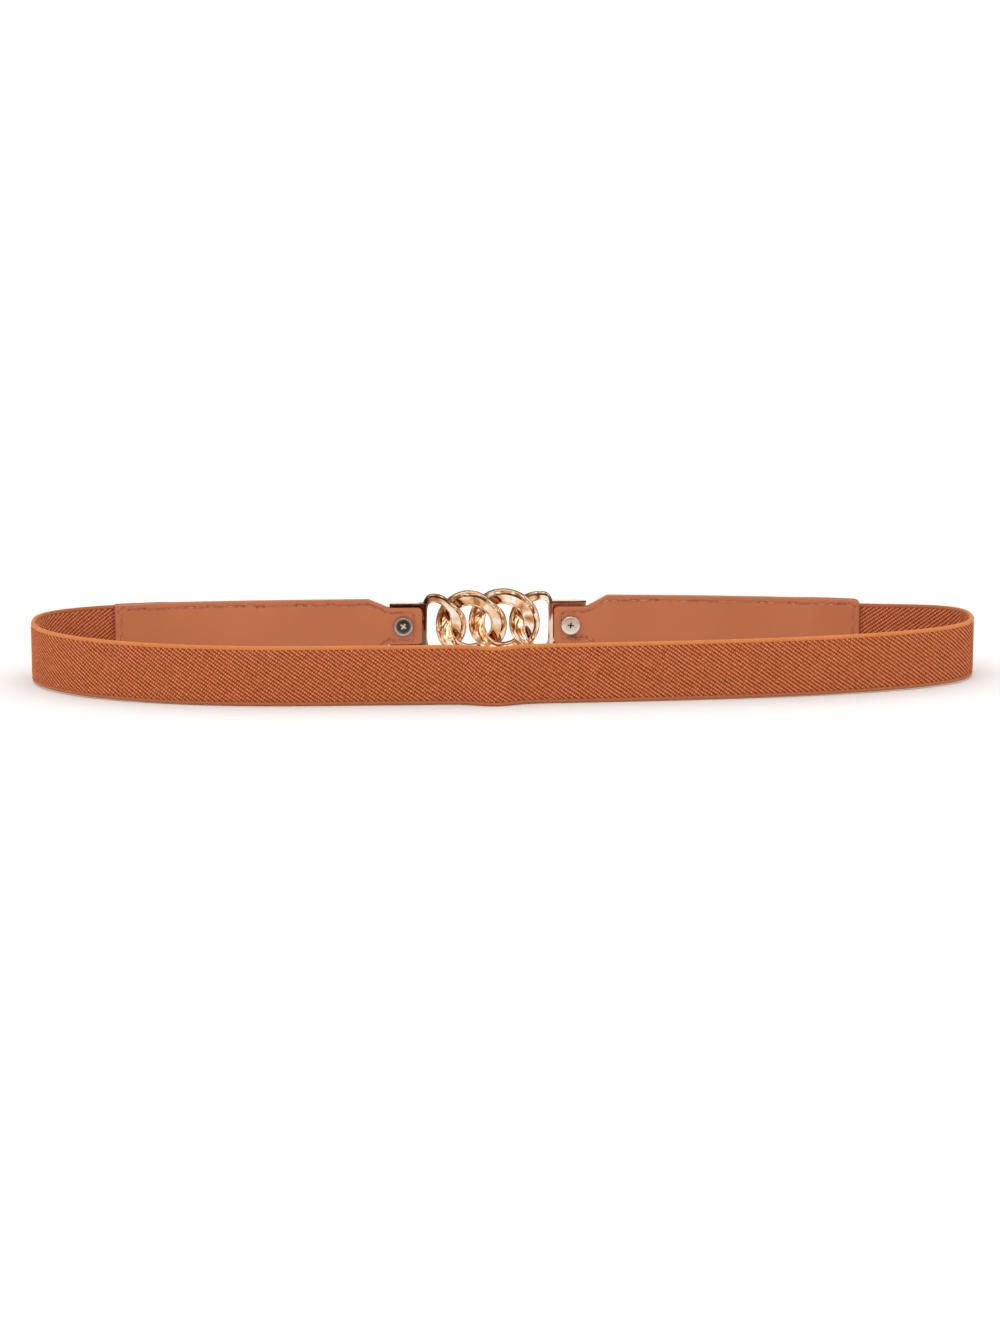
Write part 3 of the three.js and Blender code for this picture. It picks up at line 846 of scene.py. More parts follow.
def add_selvedges():
    middles = {"top": BAND_HEIGHT - BEAD_HEIGHT / 2, "bottom": BEAD_HEIGHT / 2}
    for edge, middle in middles.items():
        (points, triangles), marks = bead(middle, SELVEDGE_SEED[edge])
        mesh = mesh_of(f"selvedge_{edge}", stand(points), triangles)
        write_marks(mesh, "edge", marks)
        add_piece(f"selvedge_{edge}", mesh, selvedge_finish(edge), "elastic_band")


add_selvedges()

# %% [markdown]
# Each tab is two layers of smooth leather, glued face to face and stitched round, with the band's end between
# them. It is 20.4 mm tall, tapers, and ends in a narrower tongue for the buckle. The outline repeats the
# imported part's. The stitch line runs about 2 mm inside it, and 3 mm inside at the tip of the tongue.

# %% The outline of a tab
LEATHER_THICKNESS = 1.1
TAB_HEIGHT = 20.4
TONGUE_HEIGHT = 12.8
TONGUE_LIFT = 1
TONGUE_TIP = 22.6
TONGUE_TIP_RADIUS = 1.6
TAPER_LENGTH = 6.9
TAPER_START = 34.1
TAB_CORNER = {"left": 1.1, "right": 2.4}
TAB_RISE_NEAR = {"left": 0.08, "right": 0.98}
TAB_RISE_FAR = {"left": -0.1, "right": -0.24}
GLUE_GAP = 0.3
BAND_CLEARANCE = 0.3
BAND_RAMP = 9


def corner_drop(radius, depth):
    """How far a rounded corner falls short, at a depth in from its end."""
    return radius - np.sqrt(np.maximum(0, radius**2 - np.maximum(0, radius - depth) ** 2))


def widened(d):
    """0 along the tongue and 1 along the wide part, with the taper between them."""
    return np.clip((d - TAPER_START) / TAPER_LENGTH, 0, 1)


def tapered_half(d):
    """Half the tab's height before its corners are rounded."""
    return TONGUE_HEIGHT / 2 + (TAB_HEIGHT - TONGUE_HEIGHT) / 2 * widened(d)


def tab_half_height(d, side):
    tip = corner_drop(TONGUE_TIP_RADIUS, d - TONGUE_TIP)
    return tapered_half(d) - tip - corner_drop(TAB_CORNER[side], TAB_END - d)


def tab_middle(d, side):
    """The height of the tab's middle: the tongue is raised, and the wide part slopes a little."""
    wide_start = TAPER_START + TAPER_LENGTH
    far = np.clip((d - wide_start) / (TAB_END - wide_start), 0, 1)
    rise = TAB_RISE_NEAR[side] + (TAB_RISE_FAR[side] - TAB_RISE_NEAR[side]) * far
    return BAND_HEIGHT / 2 + TONGUE_LIFT + (rise - TONGUE_LIFT) * widened(d)


def layer_gap(d):
    """The room between the two layers: a glue line that opens over a ramp to take the band."""
    band_start = TAB_END - BAND_OVERLAP - BAND_CLEARANCE
    over_band = BAND_THICKNESS + 2 * BAND_CLEARANCE
    return GLUE_GAP + (over_band - GLUE_GAP) * smoothstep((d - (band_start - BAND_RAMP)) / BAND_RAMP)


print("A tab is", round(TAB_END - TONGUE_TIP, 1), "mm long")

# %% [markdown]
# The seam is sewn by machine with thread of the leather's colour. The thread pulls each stitch down, so it
# lies in a shallow furrow, and the leather puckers at every hole, some more than others. The same list of
# stitches makes both: the dents in the leather and the lengths of thread that lie in them.

# %% The stitches
STITCH_PITCH = 3.4
STITCH_LENGTH = 2.5
STITCH_INSET = 1.75
TIP_INSET = 3.1
END_INSET = 2.3
STITCH_WANDER = 0.12
PULL_SPREAD = (0.9, 1.3)
SEAM_STEPS = 200


def seam_path(side):
    """The closed seam of a tab as (distance, height) points close together."""
    d = np.linspace(TONGUE_TIP + TIP_INSET, TAB_END - END_INSET, SEAM_STEPS)
    half = tapered_half(d) - STITCH_INSET
    middle = tab_middle(d, side)
    top = np.stack([d, middle + half], axis=1)
    bottom = np.stack([d, middle - half], axis=1)[::-1]
    return np.concatenate([top, bottom, top[:1]])


def stitches(side, seed):
    """Each stitch as its middle (distance, height), its direction, and how hard it was pulled, 0 to 1."""
    path = seam_path(side)
    steps = np.linalg.norm(np.diff(path, axis=0), axis=1)
    lengths = np.concatenate([[0], np.cumsum(steps)])
    count = round(lengths[-1] / STITCH_PITCH)
    middles = (np.arange(count) + 0.5) * lengths[-1] / count

    def at(place):
        return np.stack([np.interp(place, lengths, path[:, k]) for k in (0, 1)], axis=1)

    direction = at(middles + STITCH_LENGTH / 2) - at(middles - STITCH_LENGTH / 2)
    direction /= np.linalg.norm(direction, axis=1, keepdims=True)
    draw = np.random.default_rng(seed)
    pull = draw.beta(*PULL_SPREAD, count)
    wander = draw.normal(0, STITCH_WANDER, (count, 2))
    return at(middles) + wander, direction, pull


print("The left seam has", len(stitches("left", 1)[0]), "stitches")

# %% [markdown]
# Three things dent the face that shows. The thread presses a furrow along each stitch and a pucker at each
# hole. The bright screw's tongue was creased along its lower seam. Each screw's head presses a shallow dish.
# A bump map would leave these flat in grazing light, so they are depths of the mesh. The same functions say
# where painted shade darkens the leather's colour: in the holes, along one side of each furrow and in the
# creases.

# %% What presses into the leather
FURROW_DEPTH = 0.14
FURROW_WIDTH = 0.55
FURROW_REACH = 0.62 * STITCH_LENGTH
LEAST_PULL = 0.5
PUCKER_DEPTH = 0.42
PUCKER_WIDTH = 0.42
# Painted shade: how dark the holes get at the least pull, and a dark line along one side of each furrow.
LEAST_HOLE = 0.3
SHADE = 0.6
SHADE_OFFSET = 0.22
SHADE_WIDTH = 0.3
SHADE_REACH = 0.6 * STITCH_LENGTH
CREASE_ALONG = 29.8
CREASE_BELOW = 4.3
CREASE_REACH = 2.7
CREASE_HEIGHT = 1.0
CREASE_DEPTH = 0.12
CREASE_LEVEL = 1.1
CREASE_BREAKS = 0.8
CREASE_GRAIN = 2.4
CREASE_SEED = 77
SCREW_OFFSET = {"left": 29.1, "right": 28.4}
DISH_DEPTH = 0.16
DISH_RADIUS = 3.9
SEAM_SEED = {"left": 21, "right": 34}


def line_of(across, along, width, reach):
    """1 along a stitch, fading beside it over a width and ending past its reach."""
    return np.exp(-((across / width) ** 2)) / (1 + (along / reach) ** 8)


def dents(d, z, side, layer):
    """How deep the seam presses into the leather, and how much painted shade darkens its holes and one side
    of each furrow, over a grid of places.
    """
    middles, directions, pulls = stitches(side, SEAM_SEED[side] + layer)
    depth = np.zeros(np.broadcast_shapes(d.shape, z.shape))
    dark = np.zeros_like(depth)
    for (at_d, at_z), (run_d, run_z), pull in zip(middles, directions, pulls):
        near = np.abs(d[:, 0] - at_d) < STITCH_PITCH
        along = (d[near] - at_d) * run_d + (z[near] - at_z) * run_z
        across = (z[near] - at_z) * run_d - (d[near] - at_d) * run_z
        from_hole = np.abs(along) - STITCH_LENGTH / 2
        hole = np.exp(-((across / PUCKER_WIDTH) ** 2) - (from_hole / PUCKER_WIDTH) ** 2)
        furrow = FURROW_DEPTH * line_of(across, along, FURROW_WIDTH, FURROW_REACH) * (LEAST_PULL + pull)
        depth[near] = np.maximum(depth[near], furrow + PUCKER_DEPTH * hole * pull)
        shade = SHADE * line_of(across - SHADE_OFFSET, along, SHADE_WIDTH, SHADE_REACH) * (LEAST_PULL + pull)
        open_hole = hole * (LEAST_HOLE + (1 - LEAST_HOLE) * pull)
        dark[near] = np.maximum(dark[near], np.maximum(open_hole, shade))
    return depth, dark


def pressed_crease(d, z, side, layer):
    """0 to 1 in the creases below the bright screw, where its tongue was pressed against the seam; it sets
    both their depth and their painted shade.
    """
    if side == "left" or layer == 1:
        return np.zeros(np.broadcast_shapes(d.shape, z.shape))
    across = (z - tab_middle(d, side) + CREASE_BELOW) / CREASE_HEIGHT
    near = np.exp(-(((d - CREASE_ALONG) / CREASE_REACH) ** 4) - across**2)
    broken = CREASE_BREAKS * ripple(d, 2 * z, CREASE_SEED, CREASE_GRAIN)
    return np.clip(near * (CREASE_LEVEL + broken), 0, 1)


def pressed_dish(d, z, side):
    """The shallow dish that the screw's head presses into both layers."""
    from_screw = np.hypot(d - SCREW_OFFSET[side], z - tab_middle(d, side))
    return DISH_DEPTH / (1 + (from_screw / DISH_RADIUS) ** 6)


print("The furrow is", FURROW_DEPTH * LEAST_PULL, "to", FURROW_DEPTH * (LEAST_PULL + 1), "mm deep")

# %% [markdown]
# A layer is a skin over sections across the tab. The rows of each section lie close together at the cut edge,
# which is a little rounded, and along the seam, where the dents need them. The face away from the band is the
# one that shows, so it carries the dents, and the other face is hidden by the second layer.

# %% A layer of leather
LEATHER_STEP = 0.36
END_COLUMNS = (0, 0.05, 0.14, 0.28, 0.45, 0.7)
EDGE_ROWS = (0, 0.05, 0.14, 0.28, 0.5, 0.8, 1.05, 1.25, 1.45, 1.65, 1.85, 2.05, 2.25, 2.5, 2.8, 3.2)
MIDDLE_ROWS = 22
CUT_RADIUS = 0.3
DEEPEST_CUT = 0.6 * LEATHER_THICKNESS
EDGE_WIDTH = 0.3
SNUG = 0.13
SWELL_DEPTH = 0.05
SWELL_LENGTH = 26


def tab_columns():
    """Distances of a layer's sections, closer together at both of its rounded ends."""
    close = np.array(END_COLUMNS)
    inner = np.arange(TONGUE_TIP + 1, TAB_END - 1, LEATHER_STEP)
    return np.concatenate([TONGUE_TIP + close, inner, (TAB_END - close)[::-1]])


def layer_rows(d, side):
    """The rows of a layer's sections, up from its middle: close at both edges, and even between."""
    half = tab_half_height(d, side)
    rows = np.array(EDGE_ROWS)[None, :]
    share = np.linspace(0, 1, MIDDLE_ROWS + 2)[None, 1:-1]
    reach = half - EDGE_ROWS[-1]
    return np.concatenate([-half + rows, -reach + 2 * reach * share, (half - rows)[:, ::-1]], axis=1)


def leather_layer(side, layer):
    """The skin and the marks of one layer; layer is 1 for the outer one and -1 for the inner one."""
    way = 1 if side == "right" else -1
    d = tab_columns()[:, None]
    up = layer_rows(d, side)
    z = tab_middle(d, side) + up
    depth, dark = dents(d, z, side, layer)
    crease = pressed_crease(d, z, side, layer)
    from_ends = np.minimum(d - TONGUE_TIP, TAB_END - d)
    from_sides = tab_half_height(d, side) - np.abs(up)
    cut = corner_drop(CUT_RADIUS, from_ends) + corner_drop(CUT_RADIUS, from_sides)
    swell = SWELL_DEPTH * ripple(d, z, SEAM_SEED[side], SWELL_LENGTH)
    near = layer_gap(d) / 2 - SNUG
    top = layer_gap(d) / 2 + LEATHER_THICKNESS + swell
    pressed = depth + CREASE_DEPTH * crease + pressed_dish(d, z, side)
    out = top - np.minimum(cut, DEEPEST_CUT) - pressed
    face = on_loop(way * d, layer * out, z)
    back = on_loop(way * d, layer * near + 0 * z[:, :2], z[:, [-1, 0]])
    edge = np.exp(-((np.minimum(from_ends, from_sides) / EDGE_WIDTH) ** 2))
    # The second mark is painted shade, in the holes, beside the furrows and in the creases.
    marks = np.stack(np.broadcast_arrays(way * d + 0 * z, np.maximum(dark, crease), edge), axis=-1)
    back_marks = np.zeros(back.shape) + [0, 0, 1]
    return skin(np.concatenate([face, back], axis=1)), np.concatenate([marks, back_marks], axis=1)


print("A leather layer has", len(tab_columns()), "sections")

# %% [markdown]
# Smooth dyed leather is satin rather than shiny. Its colour drifts in soft patches, the grain is so fine that
# it only breaks up the highlights, the cut edge is a little redder, and painted shade darkens the holes, one
# side of each furrow and the creases. The thread is modelled, because each visible length of it catches its
# own small highlight.

# %% The leather and the thread
LEATHER_TONES = (tone(180, 104, 64), tone(186, 109, 69))
LEATHER_SPECK_TONE = tone(168, 88, 56)
LEATHER_EDGE_TONE = tone(184, 98, 62)
LEATHER_PAINTED_SHADE_TONE = tone(104, 44, 34)
EDGE_SHARE = 0.35
PAINTED_SHADE_SHARE = 0.75
THREAD_TONES = (tone(160, 86, 58), tone(212, 136, 102))
THREAD_STATIONS = 9
THREAD_SIDES = 8
THREAD_RADIUS = 0.17
THREAD_TAPER = 0.35
THREAD_RISE = 0.02
THREAD_DIP = 0.1


def leather_finish():
    finish = Finish("smooth_leather", roughness=0.42)
    sides = finish.parts(finish.marks("seam"))
    dye = finish.group(soft_patches, Place=finish.place(), Patch_Scale=34.0, Speck_Scale=1400.0)
    base = finish.mix(finish.window(dye["Patches"], 0.32, 0.68), *LEATHER_TONES)
    specks = finish.mix(finish.window(dye["Specks"], 0.55, 0.8, 0.0, 0.2), base, LEATHER_SPECK_TONE)
    edged = finish.mix(finish.math("MULTIPLY", sides["Z"], EDGE_SHARE), specks, LEATHER_EDGE_TONE)
    # Painted shade in the holes, beside the furrows and in the creases.
    finish.colour(finish.mix(finish.math("MULTIPLY", sides["Y"], PAINTED_SHADE_SHARE), edged, LEATHER_PAINTED_SHADE_TONE))
    finish.roughness(finish.window(dye["Patches"], 0.3, 0.7, 0.38, 0.5))
    finish.fixed({"Specular IOR Level": 0.4})
    finish.bump(dye["Specks"], 0.05, 0.6)
    return finish.material


def thread_finish():
    finish = Finish("thread", roughness=0.6)
    dye = finish.group(soft_patches, Place=finish.place(), Patch_Scale=240.0, Speck_Scale=3200.0)
    finish.colour(finish.mix(finish.window(dye["Patches"], 0.35, 0.65), *THREAD_TONES))
    finish.bump(dye["Specks"], 0.08)
    return finish.material


def thread_lengths(side, layer):
    """The visible thread of every stitch on one layer, each a slim closed spindle that dips at its ends."""
    way = 1 if side == "right" else -1
    middles, directions, pulls = stitches(side, SEAM_SEED[side] + layer)
    t = np.linspace(-1, 1, THREAD_STATIONS)
    turn = np.arange(THREAD_SIDES) / THREAD_SIDES * 2 * math.pi
    spindles = []
    for (at_d, at_z), (run_d, run_z), pull in zip(middles, directions, pulls):
        radius = THREAD_RADIUS * (1 - THREAD_TAPER * np.abs(t) ** 3)[:, None]
        along = (t * STITCH_LENGTH / 2)[:, None]
        across = radius * np.cos(turn)[None, :]
        d = at_d + along * run_d - across * run_z
        z = at_z + along * run_z + across * run_d
        face = layer_gap(d) / 2 + LEATHER_THICKNESS
        dip = (THREAD_DIP + PUCKER_DEPTH * pull) * (np.abs(t) ** 4)[:, None]
        sink = FURROW_DEPTH * (LEAST_PULL + pull) + dip
        out = face - sink + THREAD_RISE + radius * np.sin(turn)[None, :]
        spindles.append(skin(on_loop(way * d, layer * out, z)))
    return joined(spindles)


def add_tabs():
    leather = leather_finish()
    thread = thread_finish()
    for side in ("left", "right"):
        for layer, place in ((1, "outer"), (-1, "inner")):
            node = f"tab_{side}_{place}"
            (points, triangles), marks = leather_layer(side, layer)
            mesh = mesh_of(f"leather_{side}_{place}", stand(points), triangles)
            write_marks(mesh, "seam", marks)
            add_piece(mesh.name, mesh, leather, node)
            points, triangles = thread_lengths(side, layer)
            mesh = mesh_of(f"stitches_{side}_{place}", stand(points), triangles)
            add_piece(mesh.name, mesh, thread, node)


add_tabs()

# %% [markdown]
# Each buckle half is one casting: a channel that takes the tongue, a D-shaped link and a round link, soldered
# where they cross. The half on the right is the same casting turned half a turn, with its round link hooked
# through the other's. A link is a ring of sections between an outer and an inner outline. Its section has a
# small rim at both edges and a raised ridge between two hollow facets, which gives the sharp bright lines.

# %% The links
BUCKLE_MIDDLE = 11.1
SCREW_RISE = BAND_HEIGHT / 2 + TONGUE_LIFT - BUCKLE_MIDDLE
HALF_LIFT = {"left": -0.4, "right": 0.15}
LINK_THICKNESS = 2.4
LINK_EDGE = 0.7
LINK_CLEARANCE = 0.5
LINK_STEPS = 144
RIDGE_SHARE = 0.36
RIM_SHARE = 0.09
RIM_HEIGHT = 0.13
RIM_MIDDLE = 0.045
RIM_WIDTH = 0.035
OUTER_HOLLOW = 1.7
INNER_HOLLOW = 1.45
RIDGE_STATIONS = (0.02, 0.045, 0.07, 0.1, 0.14, 0.18, 0.22, 0.26, 0.3, 0.335, 0.36, 0.385)
EDGE_STATIONS = (0.9, 0.93, 0.955, 0.98)
SLIM_DEPTH = 1.1
SLIM_ANGLE = math.radians(50)
SLIM_SPREAD = math.radians(24)
ROUND_LINK = {
    "offset": 5.65,
    "outer": {"facing": 12.15, "away": 12.15, "height": 11.95, "exponent": 2},
    "inner": {"facing": 6.85, "away": 6.85, "height": 6.75, "exponent": 2},
}
END_LINK = {
    "offset": 18,
    "outer": {"facing": 10.6, "away": 4.9, "height": 10.95, "exponent": 3},
    "inner": {"facing": 5.4, "away": 2.9, "height": 7.85, "exponent": 5},
}


def middle_reach(shape):
    return (shape["outer"]["facing"] + shape["inner"]["facing"]) / 2


def middle_height(shape):
    return (shape["outer"]["height"] + shape["inner"]["height"]) / 2


CROSSING_ANGLE = math.acos(ROUND_LINK["offset"] / middle_reach(ROUND_LINK))
LINK_WEAVE = (LINK_THICKNESS + LINK_CLEARANCE) / 2 / math.sin(2 * CROSSING_ANGLE)


def link_half_thickness(share):
    """Half the link's thickness from its outer edge (share 0) to its inner edge (share 1)."""
    edge, ridge = LINK_EDGE / 2, LINK_THICKNESS / 2
    rise = np.clip((share - RIM_SHARE) / (RIDGE_SHARE - RIM_SHARE), 0, 1)
    fall = np.clip((1 - RIM_SHARE - share) / (1 - RIM_SHARE - RIDGE_SHARE), 0, 1)
    facets = np.where(share < RIDGE_SHARE, rise**OUTER_HOLLOW, fall**INNER_HOLLOW)
    rim = RIM_HEIGHT * np.exp(-(((np.minimum(share, 1 - share) - RIM_MIDDLE) / RIM_WIDTH) ** 2))
    return edge + (ridge - edge) * facets + rim


def link_section():
    """The closed section as (share, depth) pairs, with both edges rounded."""
    inside = np.concatenate([RIDGE_STATIONS, np.linspace(0.42, 0.86, 9), EDGE_STATIONS])
    half = link_half_thickness(inside)
    edge = LINK_EDGE / 2
    outer = [(-0.01, -edge * 0.8), (-0.025, -edge * 0.35), (-0.025, edge * 0.35), (-0.01, edge * 0.8)]
    inner = [(1.01, edge * 0.8), (1.025, edge * 0.35), (1.025, -edge * 0.35), (1.01, -edge * 0.8)]
    front = list(zip(inside, half))
    back = [(share, -depth) for share, depth in front][::-1]
    return np.array(outer[2:] + front + inner + back + outer[:2])


def outline_point(outline, offset, angle):
    """Points of one of a link's outlines; angle 0 faces the buckle's middle, towards +X."""
    cos, sin = np.cos(angle), np.sin(angle)
    faces = cos > 0
    power = 2 / np.where(faces, 2, outline["exponent"])
    reach = np.where(faces, outline["facing"], outline["away"])
    x = reach * np.sign(cos) * np.abs(cos) ** power - offset
    return np.stack([x, outline["height"] * np.sign(sin) * np.abs(sin) ** power], axis=-1)


def link_skin(shape, away_weave):
    """A link's skin, slimmer near one crossing. The side away from the buckle's middle may weave less."""
    angle = np.arange(LINK_STEPS) / LINK_STEPS * 2 * math.pi
    inner = outline_point(shape["inner"], shape["offset"], angle)
    outer = outline_point(shape["outer"], shape["offset"], angle)
    slim = SLIM_DEPTH * np.exp(-(((angle - SLIM_ANGLE) / SLIM_SPREAD) ** 2))[:, None]
    inward = inner - outer
    outer = outer + inward / np.linalg.norm(inward, axis=1, keepdims=True) * slim
    weave = np.where(np.cos(angle) > 0, LINK_WEAVE, away_weave)
    sway = LINK_PLANE - weave * np.sin(2 * angle)
    section = link_section()
    flat = outer[:, None] + (inner - outer)[:, None] * section[None, :, :1]
    depth = sway[:, None] + section[None, :, 1]
    return skin(np.stack([flat[..., 0], depth, flat[..., 1]], axis=-1), ring=True)


print("The links weave", round(LINK_WEAVE, 2), "mm to either side")

# %% [markdown]
# The channel is a round-edged block with a pocket cut out of it. The pocket is open towards the inside of the
# loop and at the far end, which leaves a plate outside, a wall at the inner end, and a thin flange above and
# below the tongue. The pieces are joined with booleans, so the casting is one closed body like the real one.

# %% The castings
CHANNEL_INNER = 22.3
CHANNEL_WALL = 1.3
CHANNEL_LENGTH = 12.8
CHANNEL_END = CHANNEL_INNER - CHANNEL_WALL + CHANNEL_LENGTH
POCKET_HALF_HEIGHT = 7.25
CHANNEL_HALF_HEIGHT = 7.85
TONGUE_HALF_THICKNESS = 1.25
PLATE_INNER = 1.55
PLATE_OUTER = 2.75
CAST_EDGE = 0.22
CAST_EDGE_STEPS = 3
SOLDER_RADIUS = 1.5
SOLDER_SIDES = 24
SCREW_SHANK_RADIUS = 1.2
HOLE_CLEARANCE = 0.3
CAST_SMOOTH = math.radians(38)


def block_mesh(name, low, high, edge=0.0):
    """A box between two corners, its edges rounded where an edge radius is given."""
    work = bmesh.new()
    bmesh.ops.create_cube(work, size=1)
    for vertex in work.verts:
        vertex.co = Vector([b if c > 0 else a for a, b, c in zip(low, high, vertex.co)])
    if edge:
        bmesh.ops.bevel(
            work, geom=work.edges[:], offset=edge, segments=CAST_EDGE_STEPS, profile=0.5, affect="EDGES"
        )
    mesh = bpy.data.meshes.new(name)
    work.to_mesh(mesh)
    work.free()
    return mesh


def rod(radius, x, z, start, end, sides=40):
    """A closed cylinder along Y."""
    turn = np.arange(sides) / sides * 2 * math.pi
    ring = np.stack([x + radius * np.cos(turn), 0 * turn, z + radius * np.sin(turn)], axis=-1)
    return skin(np.stack([ring + [0, start, 0], ring + [0, end, 0]]))


def solder_places():
    """Where the middle lines of the end link and the round link cross."""
    reach = middle_reach(END_LINK)
    apart = END_LINK["offset"] - ROUND_LINK["offset"]
    x = apart * reach / (reach + middle_reach(ROUND_LINK)) - END_LINK["offset"]
    height = middle_height(END_LINK) * math.sqrt(1 - ((x + END_LINK["offset"]) / reach) ** 2)
    return [(x, height), (x, -height)]


def combine(base, other, operation):
    """The base mesh after a boolean with another mesh."""
    objects = [bpy.data.objects.new("working", mesh) for mesh in (base, other)]
    for item in objects:
        bpy.context.scene.collection.objects.link(item)
    cut = objects[0].modifiers.new("combine", "BOOLEAN")
    cut.operation = operation
    cut.solver = "EXACT"
    cut.object = objects[1]
    evaluated = objects[0].evaluated_get(bpy.context.evaluated_depsgraph_get())
    result = bpy.data.meshes.new_from_object(evaluated)
    for item in objects:
        bpy.data.objects.remove(item)
    return result


def casting(hole_offset, hole_height):
    """The left buckle half in its own place, level, as one mesh."""
    low = (-CHANNEL_END, -TONGUE_HALF_THICKNESS, -CHANNEL_HALF_HEIGHT)
    high = (-CHANNEL_INNER + CHANNEL_WALL, PLATE_OUTER, CHANNEL_HALF_HEIGHT)
    body = block_mesh("channel", low, high, CAST_EDGE)
    body = combine(body, mesh_of("end_link", *link_skin(END_LINK, LINK_WEAVE / 4)), "UNION")
    past = 2 * CHANNEL_END
    pocket_low = (-past, -past, -POCKET_HALF_HEIGHT)
    pocket_high = (-CHANNEL_INNER, PLATE_INNER, POCKET_HALF_HEIGHT)
    body = combine(body, block_mesh("pocket", pocket_low, pocket_high), "DIFFERENCE")
    hole = rod(SCREW_SHANK_RADIUS + HOLE_CLEARANCE, -hole_offset, hole_height, 0, past)
    body = combine(body, mesh_of("hole", *hole), "DIFFERENCE")
    body = combine(body, mesh_of("round_link", *link_skin(ROUND_LINK, LINK_WEAVE)), "UNION")
    for x, z in solder_places():
        pin = rod(SOLDER_RADIUS, x, z, LINK_PLANE - LINK_WEAVE, LINK_PLANE + LINK_WEAVE, SOLDER_SIDES)
        body = combine(body, mesh_of("solder", *pin), "UNION")
    return body


def cleaned(mesh, name):
    """Names a mesh, smooths it all over but for its sharp edges, and clears its empty material slots."""
    mesh.name = name
    mesh.shade_smooth()
    mesh.set_sharp_from_angle(angle=CAST_SMOOTH)
    mesh.materials.clear()
    return mesh


def placed(mesh, turned, lift):
    """A buckle mesh moved from its own middle to its place on the standing belt."""
    count = len(mesh.vertices)
    points = np.zeros(count * 3)
    mesh.vertices.foreach_get("co", points)
    points = points.reshape(-1, 3)
    if turned:
        points = points * [-1, 1, -1]
    points = stand(points + [BUCKLE_X, BACK_DEPTH, BUCKLE_MIDDLE + lift])
    mesh.vertices.foreach_set("co", points.reshape(-1))
    mesh.update()
    return mesh


print("The links are soldered at", [[round(value, 1) for value in place] for place in solder_places()])

# %% [markdown]
# The plating is a light rose gold, polished like a mirror. Nearly all of its look is what it reflects, so the
# material needs the right tint and a very low roughness. The links were polished by hand, which left facets
# that each catch another part of the room: the colour paints these in as reflections, patches in four tones
# from brown to white. The colour also paints dark reflections on the links' sides, and painted shade on the
# flanges' front edges, in the pocket and on its wall.

# %% The gold
PATCH_SCALE = 260.0
PATCH_TURN = 1.6
PAINTED_REFLECTION_START = tone(178, 122, 82)
PAINTED_REFLECTION_STEPS = [
    (0.36, 0.42, tone(230, 176, 122)),
    (0.45, 0.5, tone(250, 216, 178)),
    (0.54, 0.6, tone(255, 246, 234)),
]
CHANNEL_TONE = tone(250, 222, 190)
PAINTED_DARK_AND_CORNER_TONE = tone(84, 54, 48)
CHANNEL_BLEND = 0.3
FLANGE_BLEND = 0.3
POCKET_BLEND = 0.1
LINK_SIDE_DARK_REFLECTION = 0.9
FLANGE_PAINTED_SHADE = 0.85
WALL_PAINTED_SHADE = {"left": 0.9, "right": 0.1}
LINK_SIDE_WINDOW = (0.2, 0.62)
FRONT_WINDOW = (-0.75, -0.45)
BACK_WINDOW = (0.3, 0.6)
DULL_CORNER = 0.85
DULL_CORNER_ALONG = 22
DULL_CORNER_UP = 8.1
DULL_CORNER_RADIUS = 1.7
DULL_CORNER_BLEND = 0.6
POLISH_RELIEF = 0.2
POLISH_STRENGTH = 0.8


def masks(finish):
    """Where a point is on a casting: its facing, and how far from the buckle's middle along and upward."""
    facing = finish.parts(finish.facing())
    place = finish.parts(finish.place())
    middle = stand([BUCKLE_X, BACK_DEPTH, BUCKLE_MIDDLE])
    along = finish.math("ABSOLUTE", finish.math("SUBTRACT", place["X"], float(middle[0])))
    upward = finish.math("ABSOLUTE", finish.math("SUBTRACT", place["Z"], float(middle[2])))
    return facing["Y"], along, upward


def painted_dark_places(finish, side, outward, on_channel, upward):
    """Painted dark: dark reflections on the links' sides, and shade on the flanges' front edges, in the
    pocket and on its wall.
    """
    steep = finish.window(finish.math("ABSOLUTE", outward), *LINK_SIDE_WINDOW, LINK_SIDE_DARK_REFLECTION, 0.0)
    sides = finish.math("MULTIPLY", steep, finish.math("SUBTRACT", 1.0, on_channel))
    flange_from = (POCKET_HALF_HEIGHT - FLANGE_BLEND) * MM
    flange = finish.window(upward, flange_from, POCKET_HALF_HEIGHT * MM, 0.0, FLANGE_PAINTED_SHADE)
    inward = finish.window(outward, *FRONT_WINDOW, 1.0, 0.0)
    fronts = finish.math("MULTIPLY", finish.math("MAXIMUM", flange, WALL_PAINTED_SHADE[side]), inward)
    past_pocket = (POCKET_HALF_HEIGHT + POCKET_BLEND) * MM
    inside = finish.window(upward, past_pocket, past_pocket + POCKET_BLEND * MM, WALL_PAINTED_SHADE[side], 0.0)
    pocket = finish.math("MULTIPLY", inside, finish.window(outward, *BACK_WINDOW, 1.0, 0.0))
    channel = finish.math("MULTIPLY", finish.math("MAXIMUM", fronts, pocket), on_channel)
    return finish.math("MAXIMUM", sides, channel)


def dull_corner(finish):
    """A round dark place where the left end link meets the upper flange."""
    height = BUCKLE_MIDDLE + HALF_LIFT["left"] + DULL_CORNER_UP
    corner = stand([BUCKLE_X - DULL_CORNER_ALONG, BACK_DEPTH, height])
    away = finish.tree.nodes.new("ShaderNodeVectorMath")
    away.operation = "DISTANCE"
    link(finish.tree, finish.place(), away.inputs[0])
    away.inputs[1].default_value = [float(value) for value in corner]
    full, none = DULL_CORNER_RADIUS * MM, (DULL_CORNER_RADIUS + DULL_CORNER_BLEND) * MM
    return finish.window(away.outputs["Value"], full, none, DULL_CORNER, 0.0)


